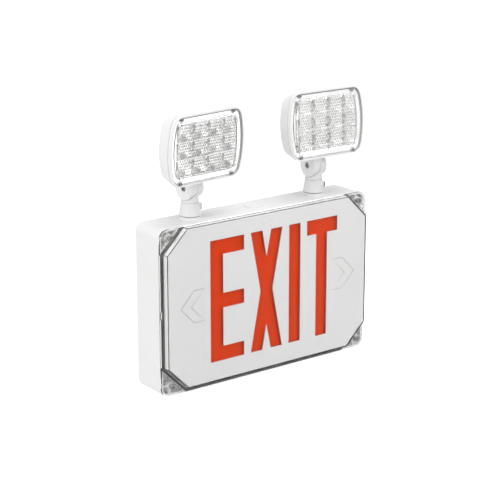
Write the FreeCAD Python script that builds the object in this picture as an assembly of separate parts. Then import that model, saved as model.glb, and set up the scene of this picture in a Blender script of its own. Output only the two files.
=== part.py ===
import FreeCAD, Part
import math
import os
from FreeCAD import Vector, Rotation, Placement

# Wall-mounted exit sign with two adjustable lamp heads, for wet places.
# Millimetres. +X right and -Y to the front, as a person facing the sign sees it; +Z up.
# The origin is the middle of the flat back face that goes against the wall.

# ---------------------------------------------------------------- driving dimensions
# housing
HOUSING_WIDTH = 314.9
HOUSING_HEIGHT = 206.6
HOUSING_DEPTH = 49.2
HOUSING_CORNER = 11.0
HOUSING_DRAFT = 0.45
HOUSING_BACK_EDGE = 2.0
SIDE_WALL = 2.8
BACK_WALL = 3.0
RIM_WIDTH = 6.0
RIM_THICK = 3.0

# gasket and clear cover
GASKET_WIDTH = 4.2
GASKET_INSET = 0.8
GASKET_THICK = 1.0
GASKET_CORNER_GAP = 0.3
GASKET_CORNER_WIDTH = 3.0
FLANGE_THICK = 2.6
WINDOW_SIDE_MARGIN = 5.1
WINDOW_TOP_MARGIN = 0.6
WINDOW_BOTTOM_MARGIN = 7.0
WINDOW_CHAMFER = 29.0
WINDOW_RISE = 7.4
WINDOW_WALL = 1.6
LADDER_OUT = 3.4
LADDER_WIDTH = 2.8
LADDER_RISE = 1.2
LADDER_RIB = 0.8
LADDER_PITCH = 5.2
LADDER_CELLS = 5
PEG_OUT = 9.0
PEG_DROP = 2.4
PEG_PITCH = 6.6
PEG_RADIUS = 1.2
PEG_BAR_END = 2.5
POCKET_DEPTH = 8.0
POCKET_FLOOR = 2.0
SHELF_MARGIN = 0.7
PRY_NOTCH_WIDTH = 9.0
PRY_NOTCH_DEPTH = 1.6

# cover screws
SCREW_SIDE_INSET = 13.8
SCREW_TOP_INSET = 10.2
SCREW_BOTTOM_INSET = 12.5
COVER_SCREW_RADIUS = 2.0
COVER_SCREW_HEAD_RADIUS = 3.6
COVER_SCREW_HEAD_THICK = 2.2
COVER_SCREW_LENGTH = 14.0
SCREW_SEAT_FLATS = 10.4
SCREW_SEAT_RISE = 0.8
SCREW_BOSS_RADIUS = 4.8
SCREW_BOSS_GUSSET = 2.4
SCREW_FREE = 0.3
SCREW_CROWN = 0.55
RECESS_SPAN = 0.62
RECESS_WIDTH = 0.13
RECESS_DEPTH = 0.6

# sign face, red panel and light tray
FACE_GAP = 0.3
FACE_THICK = 1.2
FACE_SKIRT_DEPTH = 7.0
FACE_SIDE_GAP = 0.5
RED_GAP = 1.8
SPACER_INSET = 7.6
SPACER_WALL = 1.2
CHEVRON_TIP = 133.9
CHEVRON_OUTER = 114.1
CHEVRON_INNER = 98.5
CHEVRON_NOTCH = 117.6
CHEVRON_HALF_HEIGHT = 20.4
CHEVRON_MID_HEIGHT = 4.8
CHEVRON_GROOVE = 0.7
CHEVRON_GROOVE_DEPTH = 0.5
RED_PANEL_THICK = 1.5
TRAY_INSET = 7.0
TRAY_WALL = 1.5
TRAY_DEPTH = 14.0
TRAY_POST_INSET = 5.85
TRAY_CLEAR = 1.5
TRAY_POST_Z = 45.0
STRIP_BOARD_HEIGHT = 8.0
STRIP_BOARD_THICK = 1.2
STRIP_LED_SIZE = 2.8
STRIP_LED_HEIGHT = 1.0
STRIP_LED_COUNT = 12
STRIP_LENGTH = 236.0

# wall mounting and wire entry
GANG_BOX_PITCH = 83.3
OCTAGON_BOX_PITCH = 88.9
WALL_SCREW_HOLE_RADIUS = 2.6
WALL_SCREW_PAD_RADIUS = 7.0
WALL_SCREW_PAD_RISE = 1.5
WIRE_ENTRY_RADIUS = 11.0
GROMMET_BORE_RADIUS = 6.5
GROMMET_LIP = 3.0
GROMMET_LIP_THICK = 2.0

# conduit plug on the top
CONDUIT_HOLE_RADIUS = 10.6
CONDUIT_PLUG_HEAD_RADIUS = 11.4
CONDUIT_PLUG_HEAD_THICK = 1.2
CONDUIT_PLUG_LENGTH = 9.0
CONDUIT_PLUG_WALL = 2.0
CONDUIT_SINK = 0.8

# battery, charger board, transformer, terminal block
CELL_RADIUS = 11.2
CELL_LENGTH = 43.0
CELL_COUNT = 5
CELL_WRAP = 0.4
CELL_VALLEY_RADIUS = 3.4
CELL_VALLEY_OUT = 0.9
STRAP_WIDTH = 14.0
STRAP_THICK = 1.2
STRAP_FOOT = 14.0
BATTERY_SIDE = 83.45
ELECTRICS_RISE = 51.3
BOARD_WIDTH = 104.0
BOARD_HEIGHT = 66.0
BOARD_THICK = 1.6
BOARD_SIDE = 91.45
BOARD_HOLE_INSET = 5.0
RELAY_SIZE = (19.0, 15.5, 15.5)
RELAY_PLACE = (-32.5, -0.3)
CAPACITORS = ((-8.0, 14.0, 6.3, 20.0), (9.0, 14.0, 5.0, 16.0))
CAPACITOR_EDGE = 0.8
SINK_SIZE = (18.0, 18.0, 12.0)
SINK_PLACE = (29.0, 14.0)
SINK_SLOT = 1.8
SINK_PITCH = 3.4
SINK_BASE = 4.0
HEADER_SIZE = (18.0, 8.0, 7.0)
HEADER_WALL = 1.0
HEADER_FLOOR = 2.0
HEADER_PLACES = ((-14.0, -16.5), (16.0, -16.5))
BOARD_POST_RADIUS = 3.5
BOARD_POST_HEIGHT = 6.0
LOW_POST_HEIGHT = 4.0
TRANSFORMER_WIDTH = 48.0
TRANSFORMER_HEIGHT = 40.0
TRANSFORMER_DEPTH = 22.0
TRANSFORMER_SIDE = 65.45
TRANSFORMER_DROP = 65.3
TRANSFORMER_FOOT = 11.0
TRANSFORMER_FOOT_THICK = 1.5
TRANSFORMER_CORE_INSET = 4.0
WINDING_WIDTH = 30.0
WINDING_HEIGHT = 26.0
WINDING_EDGE = 2.0
FRAME_HEIGHT = 20.0
TERMINAL_WAYS = 4
TERMINAL_PITCH = 9.5
TERMINAL_HEIGHT = 20.0
TERMINAL_DEPTH = 15.0
TERMINAL_SIDE = 65.45
TERMINAL_DROP = 69.3
TERMINAL_SCREW_RADIUS = 2.6
TERMINAL_SCREW_DEPTH = 9.0
TERMINAL_SCREW_RISE = 4.0
TERMINAL_WIRE_RADIUS = 2.0
TERMINAL_WIRE_REACH = 5.5
TERMINAL_NOTCH = 1.2
TERMINAL_NOTCH_DEPTH = 4.0
SMALL_SCREW_RADIUS = 1.5
SMALL_SCREW_HEAD_RADIUS = 2.9
SMALL_SCREW_HEAD_THICK = 1.8
SMALL_SCREW_LENGTH = 6.0

# test button and pilot light, underneath
BUTTON_SIDE = 61.45
BUTTON_RADIUS = 5.0
BUTTON_PROUD = 3.5
BUTTON_TRAVEL = 2.0
BUTTON_FREE = 0.08
BUTTON_FLANGE_RADIUS = 6.4
BUTTON_FLANGE_THICK = 1.5
SWITCH_SIZE = 16.0
SWITCH_PAD_RADIUS = 12.0
SWITCH_WALL = 1.6
SWITCH_HEIGHT = 15.0
SWITCH_PIN = (0.8, 2.8, 4.0)
SWITCH_PIN_PITCH = 9.0
SWITCH_BARREL_RADIUS = 6.0
BUTTON_EDGE = 1.2
SPRING_WIRE = 0.7
SPRING_RADIUS = 3.2
SPRING_TURNS = 4.0
BEZEL_RADIUS = 8.5
BEZEL_THICK = 1.2
PILOT_PITCH = 24.0
PILOT_RADIUS = 2.5
PILOT_PROUD = 2.5
PILOT_LENGTH = 8.0
PILOT_COLLAR = 1.0
PILOT_DOME = 1.75
CONDUIT_SLOT_LENGTH = 12.7
CONDUIT_SLOT_WIDTH = 2.0

# lamp head mounting on the housing top
HEAD_SPACING = 189.0
TOP_BOSS_RADIUS = 12.6
TOP_BOSS_HEIGHT = 3.0
COLLAR_GASKET_RADIUS = 11.3
COLLAR_GASKET_THICK = 0.8
COLLAR_BASE_RADIUS = 13.4
COLLAR_TOP_RADIUS = 11.0
COLLAR_HEIGHT = 16.0
COLLAR_EDGE = 1.0
COLLAR_FLOOR = 3.0
COLLAR_SPIGOT_RADIUS = 6.4
COLLAR_SPIGOT_FREE = 0.1
COLLAR_SPIGOT_LENGTH = 13.0
COLLAR_NUT_FLATS = 19.0
COLLAR_NUT_THICK = 4.0
WIRE_HOLE_RADIUS = 4.0
SET_BOSS_RADIUS = 4.2
SET_BOSS_REACH = 14.2
SET_BOSS_HEIGHT = 9.8
SET_SCREW_RADIUS = 1.75
SET_SCREW_HEAD_RADIUS = 2.9
SET_SCREW_HEAD_SINK = 1.6

# knuckle that turns in the collar
STEM_RADIUS = 8.0
STEM_FREE = 0.05
STEM_GROOVE_DEPTH = 1.0
STEM_GROOVE_HALF = 2.2
STEM_END_GAP = 0.3
NECK_RADIUS = 10.6
TILT_AXIS_RISE = 18.2
KNUCKLE_LUG_RADIUS = 12.7
KNUCKLE_LUG_OUTER = 10.9
LUG_GAP = 0.3
HEAD_LUG_INNER = 1.0
HEAD_LUG_OUTER = 10.2
HEAD_LUG_OUTER_RADIUS = 15.2
HEAD_LUG_INNER_RADIUS = 12.6
TILT_SCREW_RADIUS = 2.0
TILT_SCREW_FREE = 0.05
TILT_SCREW_HEAD_RADIUS = 3.8
TILT_SCREW_HEAD_THICK = 2.4
TILT_SCREW_HEAD_SINK = 1.8
TILT_NUT_FLATS = 7.0
TILT_NUT_THICK = 3.2
NUT_SLACK = 0.15

# lamp head
LAMP_HALF_WIDTH = 56.75
LAMP_HALF_HEIGHT = 41.9
LAMP_FLAT_HALF = 40.0
LAMP_CORNER = 13.0
LAMP_FRONT = 30.2
LAMP_DEPTH = 28.0
LAMP_RISE = 55.1
LAMP_LIP_DEPTH = 5.0
LAMP_GROOVE_WIDTH = 1.0
LAMP_GROOVE_DEPTH = 1.2
LAMP_REAR_HALF_WIDTH = 55.4
LAMP_REAR_HALF_HEIGHT = 35.0
LAMP_REAR_CORNER = 11.6
LAMP_BACK_EDGE = 9.0
LAMP_WALL = 2.0
LIP_WIDTH = 1.6
LUG_RIB_HEIGHT = 46.0
LUG_RIB_BACK_RISE = 16.0
LUG_RIB_FRONT_REACH = 18.7
LUG_RIB_HALF = 11.8
LENS_THICK = 2.2
LENS_SINK = 0.8
LENS_FREE = 0.15
LENS_PANEL_MARGIN = 9.0
LENS_PANEL_RISE = 2.4
LENS_PANEL_EDGE = 1.2
LENS_SCREW_X = 39.9
LENS_SCREW_Z = 37.9
LENS_SCREW_RADIUS = 1.1
LENS_SCREW_HEAD_RADIUS = 1.9
LENS_SCREW_HEAD_THICK = 0.9
LENS_SCREW_LENGTH = 8.0
LENS_BOSS_RADIUS = 3.0
LENS_GASKET_THICK = 0.8
LENS_GASKET_WIDTH = 1.4
CELL_COLUMNS = 4
CELL_ROWS = 3
CELL_PITCH_X = 23.5
CELL_PITCH_Z = 21.0
CELL_RIDGE = 1.0
CELL_WAIST = 0.8
CELL_THROAT = 8.0
CELL_WALL = 0.9
REFLECTOR_DEPTH = 13.0
REFLECTOR_SKIN = 1.5
REFLECTOR_FREE = 0.4
LED_BOARD_HALF_WIDTH = 48.0
LED_BOARD_HALF_HEIGHT = 29.5
LED_POST_RADIUS = 3.0
LED_POST_X = 45.0
LED_POST_Z = 10.5
LED_BOARD_THICK = 1.6
LED_SIZE = 5.0
LED_HEIGHT = 1.6
LED_DOME_RADIUS = 1.9

# how each head is turned at rest, in degrees
LEFT_PAN = 5.9
LEFT_TILT = 3.2
LEFT_SET_SCREW_ANGLE = -17.0
RIGHT_PAN = -2.4
RIGHT_TILT = -3.1
RIGHT_SET_SCREW_ANGLE = -57.0

# ---------------------------------------------------------------- places worked out
HALF_W = HOUSING_WIDTH / 2
HALF_H = HOUSING_HEIGHT / 2
WALL_SEAT = HALF_H - SIDE_WALL - HOUSING_DRAFT
GASKET_FRONT = HOUSING_DEPTH + GASKET_THICK
FLANGE_FRONT = GASKET_FRONT + FLANGE_THICK
SCREW_SEAT = FLANGE_FRONT + SCREW_SEAT_RISE
WINDOW_FRONT = FLANGE_FRONT + WINDOW_RISE
WINDOW_BACK = WINDOW_FRONT - WINDOW_WALL
FACE_FRONT = WINDOW_BACK - FACE_GAP
FACE_BACK = FACE_FRONT - FACE_THICK
RED_FRONT = FACE_BACK - RED_GAP
RED_BACK = RED_FRONT - RED_PANEL_THICK
TRAY_FRONT = RED_BACK - FACE_GAP
TRAY_BACK = TRAY_FRONT - TRAY_DEPTH
CORNER_EDGE_TOP = HALF_W - WINDOW_SIDE_MARGIN + HALF_H - WINDOW_TOP_MARGIN - WINDOW_CHAMFER
CORNER_EDGE_BOTTOM = HALF_W - WINDOW_SIDE_MARGIN + HALF_H - WINDOW_BOTTOM_MARGIN - WINDOW_CHAMFER
SCREW_X = HALF_W - SCREW_SIDE_INSET
SCREW_TOP = HALF_H - SCREW_TOP_INSET
SCREW_BOTTOM = -HALF_H + SCREW_BOTTOM_INSET
COVER_SCREW_PLACES = [(sx * SCREW_X, z) for sx in (-1, 1) for z in (SCREW_TOP, SCREW_BOTTOM)]
TRAY_POST_X = HALF_W - WINDOW_SIDE_MARGIN - TRAY_INSET - TRAY_WALL - TRAY_POST_INSET
TRAY_POST_PLACES = [(sx * TRAY_POST_X, sz * TRAY_POST_Z) for sx in (-1, 1) for sz in (-1, 1)]
WALL_SCREW_PLACES = [(0, GANG_BOX_PITCH / 2), (0, -GANG_BOX_PITCH / 2),
                     (OCTAGON_BOX_PITCH / 2, 0), (-OCTAGON_BOX_PITCH / 2, 0)]
BATTERY_X = -HALF_W + BATTERY_SIDE
BATTERY_Z = -HALF_H + ELECTRICS_RISE
BOARD_X = HALF_W - BOARD_SIDE
BOARD_Z = -HALF_H + ELECTRICS_RISE
TRANSFORMER_X = HALF_W - TRANSFORMER_SIDE
TRANSFORMER_Z = HALF_H - TRANSFORMER_DROP
TERMINAL_X = -HALF_W + TERMINAL_SIDE
TERMINAL_Z = HALF_H - TERMINAL_DROP
BUTTON_X = HALF_W - BUTTON_SIDE
BUTTON_Y = -TRAY_BACK + TRAY_CLEAR + SWITCH_SIZE / 2
PILOT_X = BUTTON_X - PILOT_PITCH
HEAD_Y = -HOUSING_DEPTH / 2
BOARD_HOLE_X = BOARD_WIDTH / 2 - BOARD_HOLE_INSET
BOARD_HOLE_Z = BOARD_HEIGHT / 2 - BOARD_HOLE_INSET
BOARD_HOLES = [(BOARD_X + sx * BOARD_HOLE_X, BOARD_Z + sz * BOARD_HOLE_Z)
               for sx in (-1, 1) for sz in (-1, 1)]
BATTERY_HALF_W = CELL_RADIUS * CELL_COUNT + CELL_WRAP
STRAP_HOLES = [(BATTERY_X, BATTERY_Z + sz * (CELL_LENGTH / 2 + CELL_WRAP + STRAP_THICK + STRAP_FOOT / 2))
               for sz in (-1, 1)]
TRANSFORMER_HOLES = [(TRANSFORMER_X + sx * (TRANSFORMER_WIDTH / 2 + TRANSFORMER_FOOT / 2), TRANSFORMER_Z)
                     for sx in (-1, 1)]
BOARD_REACH = BACK_WALL + BOARD_POST_HEIGHT
LOW_POST_REACH = BACK_WALL + LOW_POST_HEIGHT
POST_PLACES = ([(x, z, BOARD_REACH) for x, z in BOARD_HOLES]
               + [(x, z, TRAY_BACK) for x, z in TRAY_POST_PLACES]
               + [(x, z, LOW_POST_REACH) for x, z in STRAP_HOLES + TRANSFORMER_HOLES])
COLLAR_BASE = HALF_H + TOP_BOSS_HEIGHT + COLLAR_GASKET_THICK
COLLAR_TOP = COLLAR_BASE + COLLAR_HEIGHT
TILT_AXIS_Z = COLLAR_TOP + TILT_AXIS_RISE
LAMP_BACK = LAMP_FRONT - LAMP_DEPTH
LENS_FRONT = LAMP_FRONT - LENS_SINK
LENS_BACK = LENS_FRONT - LENS_THICK
LENS_SEAT = LENS_BACK - LENS_GASKET_THICK
LAMP_WALL_FRONT = LAMP_GROOVE_DEPTH + LAMP_WALL
REFLECTOR_FRONT = LENS_BACK - REFLECTOR_FREE
REFLECTOR_BACK = REFLECTOR_FRONT - REFLECTOR_DEPTH
LED_BOARD_FRONT = REFLECTOR_BACK - REFLECTOR_FREE / 2
LED_BOARD_BACK = LED_BOARD_FRONT - LED_BOARD_THICK
LENS_SCREW_PLACES = [(sx * LENS_SCREW_X, LAMP_RISE + sz * LENS_SCREW_Z)
                     for sx in (-1, 1) for sz in (-1, 1)]
CELL_PLACES = [((i + 0.5 - CELL_COLUMNS / 2) * CELL_PITCH_X,
                LAMP_RISE + (j + 0.5 - CELL_ROWS / 2) * CELL_PITCH_Z)
               for i in range(CELL_COLUMNS) for j in range(CELL_ROWS)]
LED_POST_PLACES = [(sx * LED_POST_X, LAMP_RISE + sz * LED_POST_Z)
                   for sx in (-1, 1) for sz in (-1, 1)]

os.makedirs("parts", exist_ok=True)


# ---------------------------------------------------------------- shape tools
def box(x0, x1, y0, y1, z0, z1):
    """A box between two corners; the limits may be given in either order."""
    low = Vector(min(x0, x1), min(y0, y1), min(z0, z1))
    return Part.makeBox(abs(x1 - x0), abs(y1 - y0), abs(z1 - z0), low)


def rod(radius, start, end):
    """A round bar from one point to another."""
    line = end - start
    return Part.makeCylinder(radius, line.Length, start, line)


def cone(radius_start, radius_end, start, end):
    """A tapered round bar from one point to another."""
    line = end - start
    return Part.makeCone(radius_start, radius_end, line.Length, start, line)


def outline_face(points, y):
    """A flat face in the XZ plane at depth y through the given (x, z) points."""
    corners = [Vector(x, y, z) for x, z in points]
    return Part.Face(Part.makePolygon(corners + corners[:1]))


def plate(points, front, back):
    """A flat plate of the given (x, z) outline between two distances in front of the wall."""
    return outline_face(points, -back).extrude(Vector(0, back - front, 0))


def rounded_wire(half_w, half_h, radius, y):
    """A rectangle with round corners, centred on the Y axis."""
    x, z = half_w - radius, half_h - radius
    edges = []
    for cx, cz, start in ((x, z, 0), (-x, z, 90), (-x, -z, 180), (x, -z, 270)):
        first, middle, last = (
            Vector(cx + radius * math.cos(math.radians(a)), y, cz + radius * math.sin(math.radians(a)))
            for a in (start, start + 45, start + 90)
        )
        if edges:
            edges.append(Part.LineSegment(edges[-1].Vertexes[-1].Point, first).toShape())
        edges.append(Part.Arc(first, middle, last).toShape())
    edges.append(Part.LineSegment(edges[-1].Vertexes[-1].Point, edges[0].Vertexes[0].Point).toShape())
    return Part.Wire(edges)


def rounded_plate(half_w, half_h, radius, front, back):
    """A plate with round corners between two distances in front of the wall."""
    face = Part.Face(rounded_wire(half_w, half_h, radius, -back))
    return face.extrude(Vector(0, back - front, 0))


def window_points(inset):
    """The eight corners of the raised window, brought in by the given amount all round."""
    x = HALF_W - WINDOW_SIDE_MARGIN - inset
    top = HALF_H - WINDOW_TOP_MARGIN - inset
    bottom = -HALF_H + WINDOW_BOTTOM_MARGIN + inset
    leg = WINDOW_CHAMFER - inset * (2 - math.sqrt(2))
    return [(x, top - leg), (x - leg, top), (-x + leg, top), (-x, top - leg),
            (-x, bottom + leg), (-x + leg, bottom), (x - leg, bottom), (x, bottom + leg)]


def seal_points(inset, spread):
    """An eight-sided outline inset from the housing's edge, with corners cut outside the window's corners."""
    x, z = HALF_W - inset, HALF_H - inset
    top = CORNER_EDGE_TOP + spread * math.sqrt(2)
    bottom = CORNER_EDGE_BOTTOM + spread * math.sqrt(2)
    return [(x, top - x), (top - z, z), (z - top, z), (-x, top - x),
            (-x, x - bottom), (z - bottom, -z), (bottom - z, -z), (x, x - bottom)]


def corner_triangles(spread):
    """The four corners of the housing that lie outside the window's cut corners by the given spread."""
    triangles = []
    for side, lift, edge in ((-1, 1, CORNER_EDGE_TOP), (1, 1, CORNER_EDGE_TOP),
                             (-1, -1, CORNER_EDGE_BOTTOM), (1, -1, CORNER_EDGE_BOTTOM)):
        edge = edge + spread * math.sqrt(2)
        triangles.append([(side * HALF_W, lift * (edge - HALF_W)), (side * HALF_W, lift * HALF_H),
                          (side * (edge - HALF_H), lift * HALF_H)])
    return triangles


def pad_point(side, lift, out, along):
    """A point on a corner pad: out from the window's cut corner, and along it from beside the screw."""
    height, edge = (SCREW_TOP, CORNER_EDGE_TOP) if lift > 0 else (-SCREW_BOTTOM, CORNER_EDGE_BOTTOM)
    back = (SCREW_X + height - edge) / 2
    x = SCREW_X - back + (out + along) / math.sqrt(2)
    z = height - back + (out - along) / math.sqrt(2)
    return side * x, lift * z


def rib(start, end, thick, back, front):
    """A straight rib between two (x, z) points."""
    run_x, run_z = end[0] - start[0], end[1] - start[1]
    share = thick / 2 / math.hypot(run_x, run_z)
    dx, dz = -run_z * share, run_x * share
    return plate([(start[0] + dx, start[1] + dz), (end[0] + dx, end[1] + dz),
                  (end[0] - dx, end[1] - dz), (start[0] - dx, start[1] - dz)], back, front)


def hexagon(flats, thick, centre, direction):
    """A hexagonal prism with its middle axis through the given point."""
    radius = flats / math.sqrt(3)
    corners = [Vector(radius * math.cos(math.radians(60 * i)), radius * math.sin(math.radians(60 * i)), 0)
               for i in range(7)]
    prism = Part.Face(Part.makePolygon(corners)).extrude(Vector(0, 0, thick))
    prism.Placement = Placement(centre, Rotation(Vector(0, 0, 1), direction))
    return prism


def pan_screw(tip, direction, radius, length, head_radius, head_thick):
    """A round-headed screw: the seat of its head is length away from its tip, along direction."""
    axis = Vector(direction).normalize()
    seat = tip + axis * length
    shank = rod(radius, tip, seat)
    head = rod(head_radius, seat, seat + axis * head_thick)
    rim = [e for e in head.Edges if len(e.Vertexes) == 1 and (e.Curve.Center - seat).Length > head_thick / 2]
    head = head.makeFillet(head_thick * SCREW_CROWN, rim)
    span, half_width = head_radius * RECESS_SPAN, head_radius * RECESS_WIDTH
    slots = []
    for turn in (0, 90):
        slot = box(-span, span, -half_width, half_width, head_thick * (1 - RECESS_DEPTH), head_thick + 1)
        slot.rotate(Vector(0, 0, 0), Vector(0, 0, 1), turn)
        slot.Placement = Placement(seat, Rotation(Vector(0, 0, 1), axis)).multiply(slot.Placement)
        slots.append(slot)
    return shank.fuse(head).cut(slots[0].fuse(slots[1])).removeSplitter()


def save(name, shape):
    """Write one node; a group of like pieces is a compound of separate solids."""
    if isinstance(shape, (list, tuple)):
        shape = Part.makeCompound(list(shape))
    bad = [s for s in shape.Solids if not s.isValid() or s.Volume <= 0]
    print("%-24s solids %2d  volume %9.1f  faces %4d %s"
          % (name, len(shape.Solids), shape.Volume, len(shape.Faces), "BAD" if bad else ""))
    shape.exportStep("parts/%s.step" % name)


# ---------------------------------------------------------------- housing
def make_housing():
    """The moulded rear shell: drafted walls, front rim, cover-screw bosses, wall-screw pads and posts."""
    back = rounded_wire(HALF_W - HOUSING_DRAFT, HALF_H - HOUSING_DRAFT, HOUSING_CORNER, 0)
    front = rounded_wire(HALF_W, HALF_H, HOUSING_CORNER, -HOUSING_DEPTH)
    shell = Part.makeLoft([back, front], True, True)
    back_edges = [e for e in shell.Edges if abs(e.BoundBox.YMin) < 0.01 and abs(e.BoundBox.YMax) < 0.01]
    shell = shell.makeFillet(HOUSING_BACK_EDGE, back_edges)
    inner_corner = HOUSING_CORNER - SIDE_WALL
    cavity_front = HOUSING_DEPTH - RIM_THICK
    cavity = Part.makeLoft([
        rounded_wire(HALF_W - HOUSING_DRAFT - SIDE_WALL, WALL_SEAT, inner_corner, -BACK_WALL),
        rounded_wire(HALF_W - SIDE_WALL, HALF_H - SIDE_WALL, inner_corner, -cavity_front)], True, True)
    mouth = rounded_plate(HALF_W - RIM_WIDTH, HALF_H - RIM_WIDTH, HOUSING_CORNER - RIM_WIDTH,
                          cavity_front, HOUSING_DEPTH)
    shell = shell.cut(cavity.fuse(mouth))

    shelf_back = HOUSING_DEPTH - POCKET_DEPTH - POCKET_FLOOR
    within = rounded_plate(HALF_W - SIDE_WALL / 2, HALF_H - SIDE_WALL / 2, HOUSING_CORNER - SIDE_WALL / 2,
                           shelf_back, HOUSING_DEPTH)
    inside = rounded_plate(HALF_W - SIDE_WALL, HALF_H - SIDE_WALL, inner_corner,
                           HOUSING_DEPTH - POCKET_DEPTH, HOUSING_DEPTH + 1)
    shelf_outer = GASKET_CORNER_GAP + GASKET_CORNER_WIDTH + SHELF_MARGIN
    shelves = [plate(points, shelf_back, HOUSING_DEPTH).common(within)
               for points in corner_triangles(GASKET_CORNER_GAP - SHELF_MARGIN)]
    pockets = [plate(points, HOUSING_DEPTH - POCKET_DEPTH, HOUSING_DEPTH + 1).common(inside)
               for points in corner_triangles(shelf_outer)]
    shell = shell.multiFuse(shelves).cut(Part.makeCompound(pockets))

    added = []
    for x, z in COVER_SCREW_PLACES:
        side = math.copysign(1, x)
        lift = math.copysign(1, z)
        added.append(rod(SCREW_BOSS_RADIUS, Vector(x, -BACK_WALL, z), Vector(x, -HOUSING_DEPTH, z)))
        half = SCREW_BOSS_GUSSET / 2
        added.append(box(x, side * (HALF_W - SIDE_WALL / 2), -BACK_WALL, -cavity_front, z - half, z + half))
        added.append(box(x - half, x + half, -BACK_WALL, -cavity_front, z, lift * (HALF_H - SIDE_WALL / 2)))
    for x, z in WALL_SCREW_PLACES:
        added.append(rod(WALL_SCREW_PAD_RADIUS, Vector(x, -BACK_WALL / 2, z),
                         Vector(x, -BACK_WALL - WALL_SCREW_PAD_RISE, z)))
    for x, z, reach in POST_PLACES:
        added.append(rod(BOARD_POST_RADIUS, Vector(x, -BACK_WALL / 2, z), Vector(x, -reach, z)))
    for side in (-1, 1):
        x = side * HEAD_SPACING / 2
        added.append(rod(TOP_BOSS_RADIUS, Vector(x, HEAD_Y, WALL_SEAT),
                         Vector(x, HEAD_Y, HALF_H + TOP_BOSS_HEIGHT)))
    for x, radius in ((BUTTON_X, SWITCH_PAD_RADIUS), (PILOT_X, PILOT_RADIUS + 2 * PILOT_COLLAR)):
        added.append(rod(radius, Vector(x, BUTTON_Y, -WALL_SEAT),
                         Vector(x, BUTTON_Y, -HALF_H + SIDE_WALL / 2)))
    shell = shell.multiFuse(added)

    holes = [rod(COVER_SCREW_RADIUS, Vector(x, -HOUSING_DEPTH, z),
                 Vector(x, -HOUSING_DEPTH + COVER_SCREW_LENGTH, z)) for x, z in COVER_SCREW_PLACES]
    holes += [rod(WALL_SCREW_HOLE_RADIUS, Vector(x, 1, z), Vector(x, -BACK_WALL - WALL_SCREW_PAD_RISE - 1, z))
              for x, z in WALL_SCREW_PLACES]
    holes += [rod(SMALL_SCREW_RADIUS, Vector(x, -reach, z), Vector(x, -reach + SMALL_SCREW_LENGTH, z))
              for x, z, reach in POST_PLACES]
    holes.append(rod(WIRE_ENTRY_RADIUS, Vector(0, 1, 0), Vector(0, -BACK_WALL - 1, 0)))
    for side in (-1, 1):
        x = side * HEAD_SPACING / 2
        holes.append(rod(COLLAR_SPIGOT_RADIUS + COLLAR_SPIGOT_FREE, Vector(x, HEAD_Y, WALL_SEAT - 1),
                         Vector(x, HEAD_Y, HALF_H + TOP_BOSS_HEIGHT + 1)))
    holes.append(rod(CONDUIT_HOLE_RADIUS, Vector(0, HEAD_Y, WALL_SEAT - 1), Vector(0, HEAD_Y, HALF_H + 1)))
    holes.append(rod(CONDUIT_PLUG_HEAD_RADIUS + SCREW_FREE, Vector(0, HEAD_Y, HALF_H - CONDUIT_SINK),
                     Vector(0, HEAD_Y, HALF_H + 1)))
    holes.append(rod(SWITCH_BARREL_RADIUS, Vector(BUTTON_X, BUTTON_Y, -HALF_H - 1),
                     Vector(BUTTON_X, BUTTON_Y, -WALL_SEAT + 1)))
    holes.append(rod(PILOT_RADIUS, Vector(PILOT_X, BUTTON_Y, -HALF_H - 1),
                     Vector(PILOT_X, BUTTON_Y, -WALL_SEAT + 1)))
    return shell.cut(Part.makeCompound(holes)).removeSplitter()


def make_cover_gasket():
    """The flat eight-sided foam ring between the housing's rim and the cover's flange."""
    outer = plate(seal_points(GASKET_INSET, GASKET_CORNER_GAP + GASKET_CORNER_WIDTH),
                  HOUSING_DEPTH, GASKET_FRONT)
    inner = plate(seal_points(GASKET_INSET + GASKET_WIDTH, GASKET_CORNER_GAP),
                  HOUSING_DEPTH - 1, GASKET_FRONT + 1)
    return outer.cut(inner)


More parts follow.
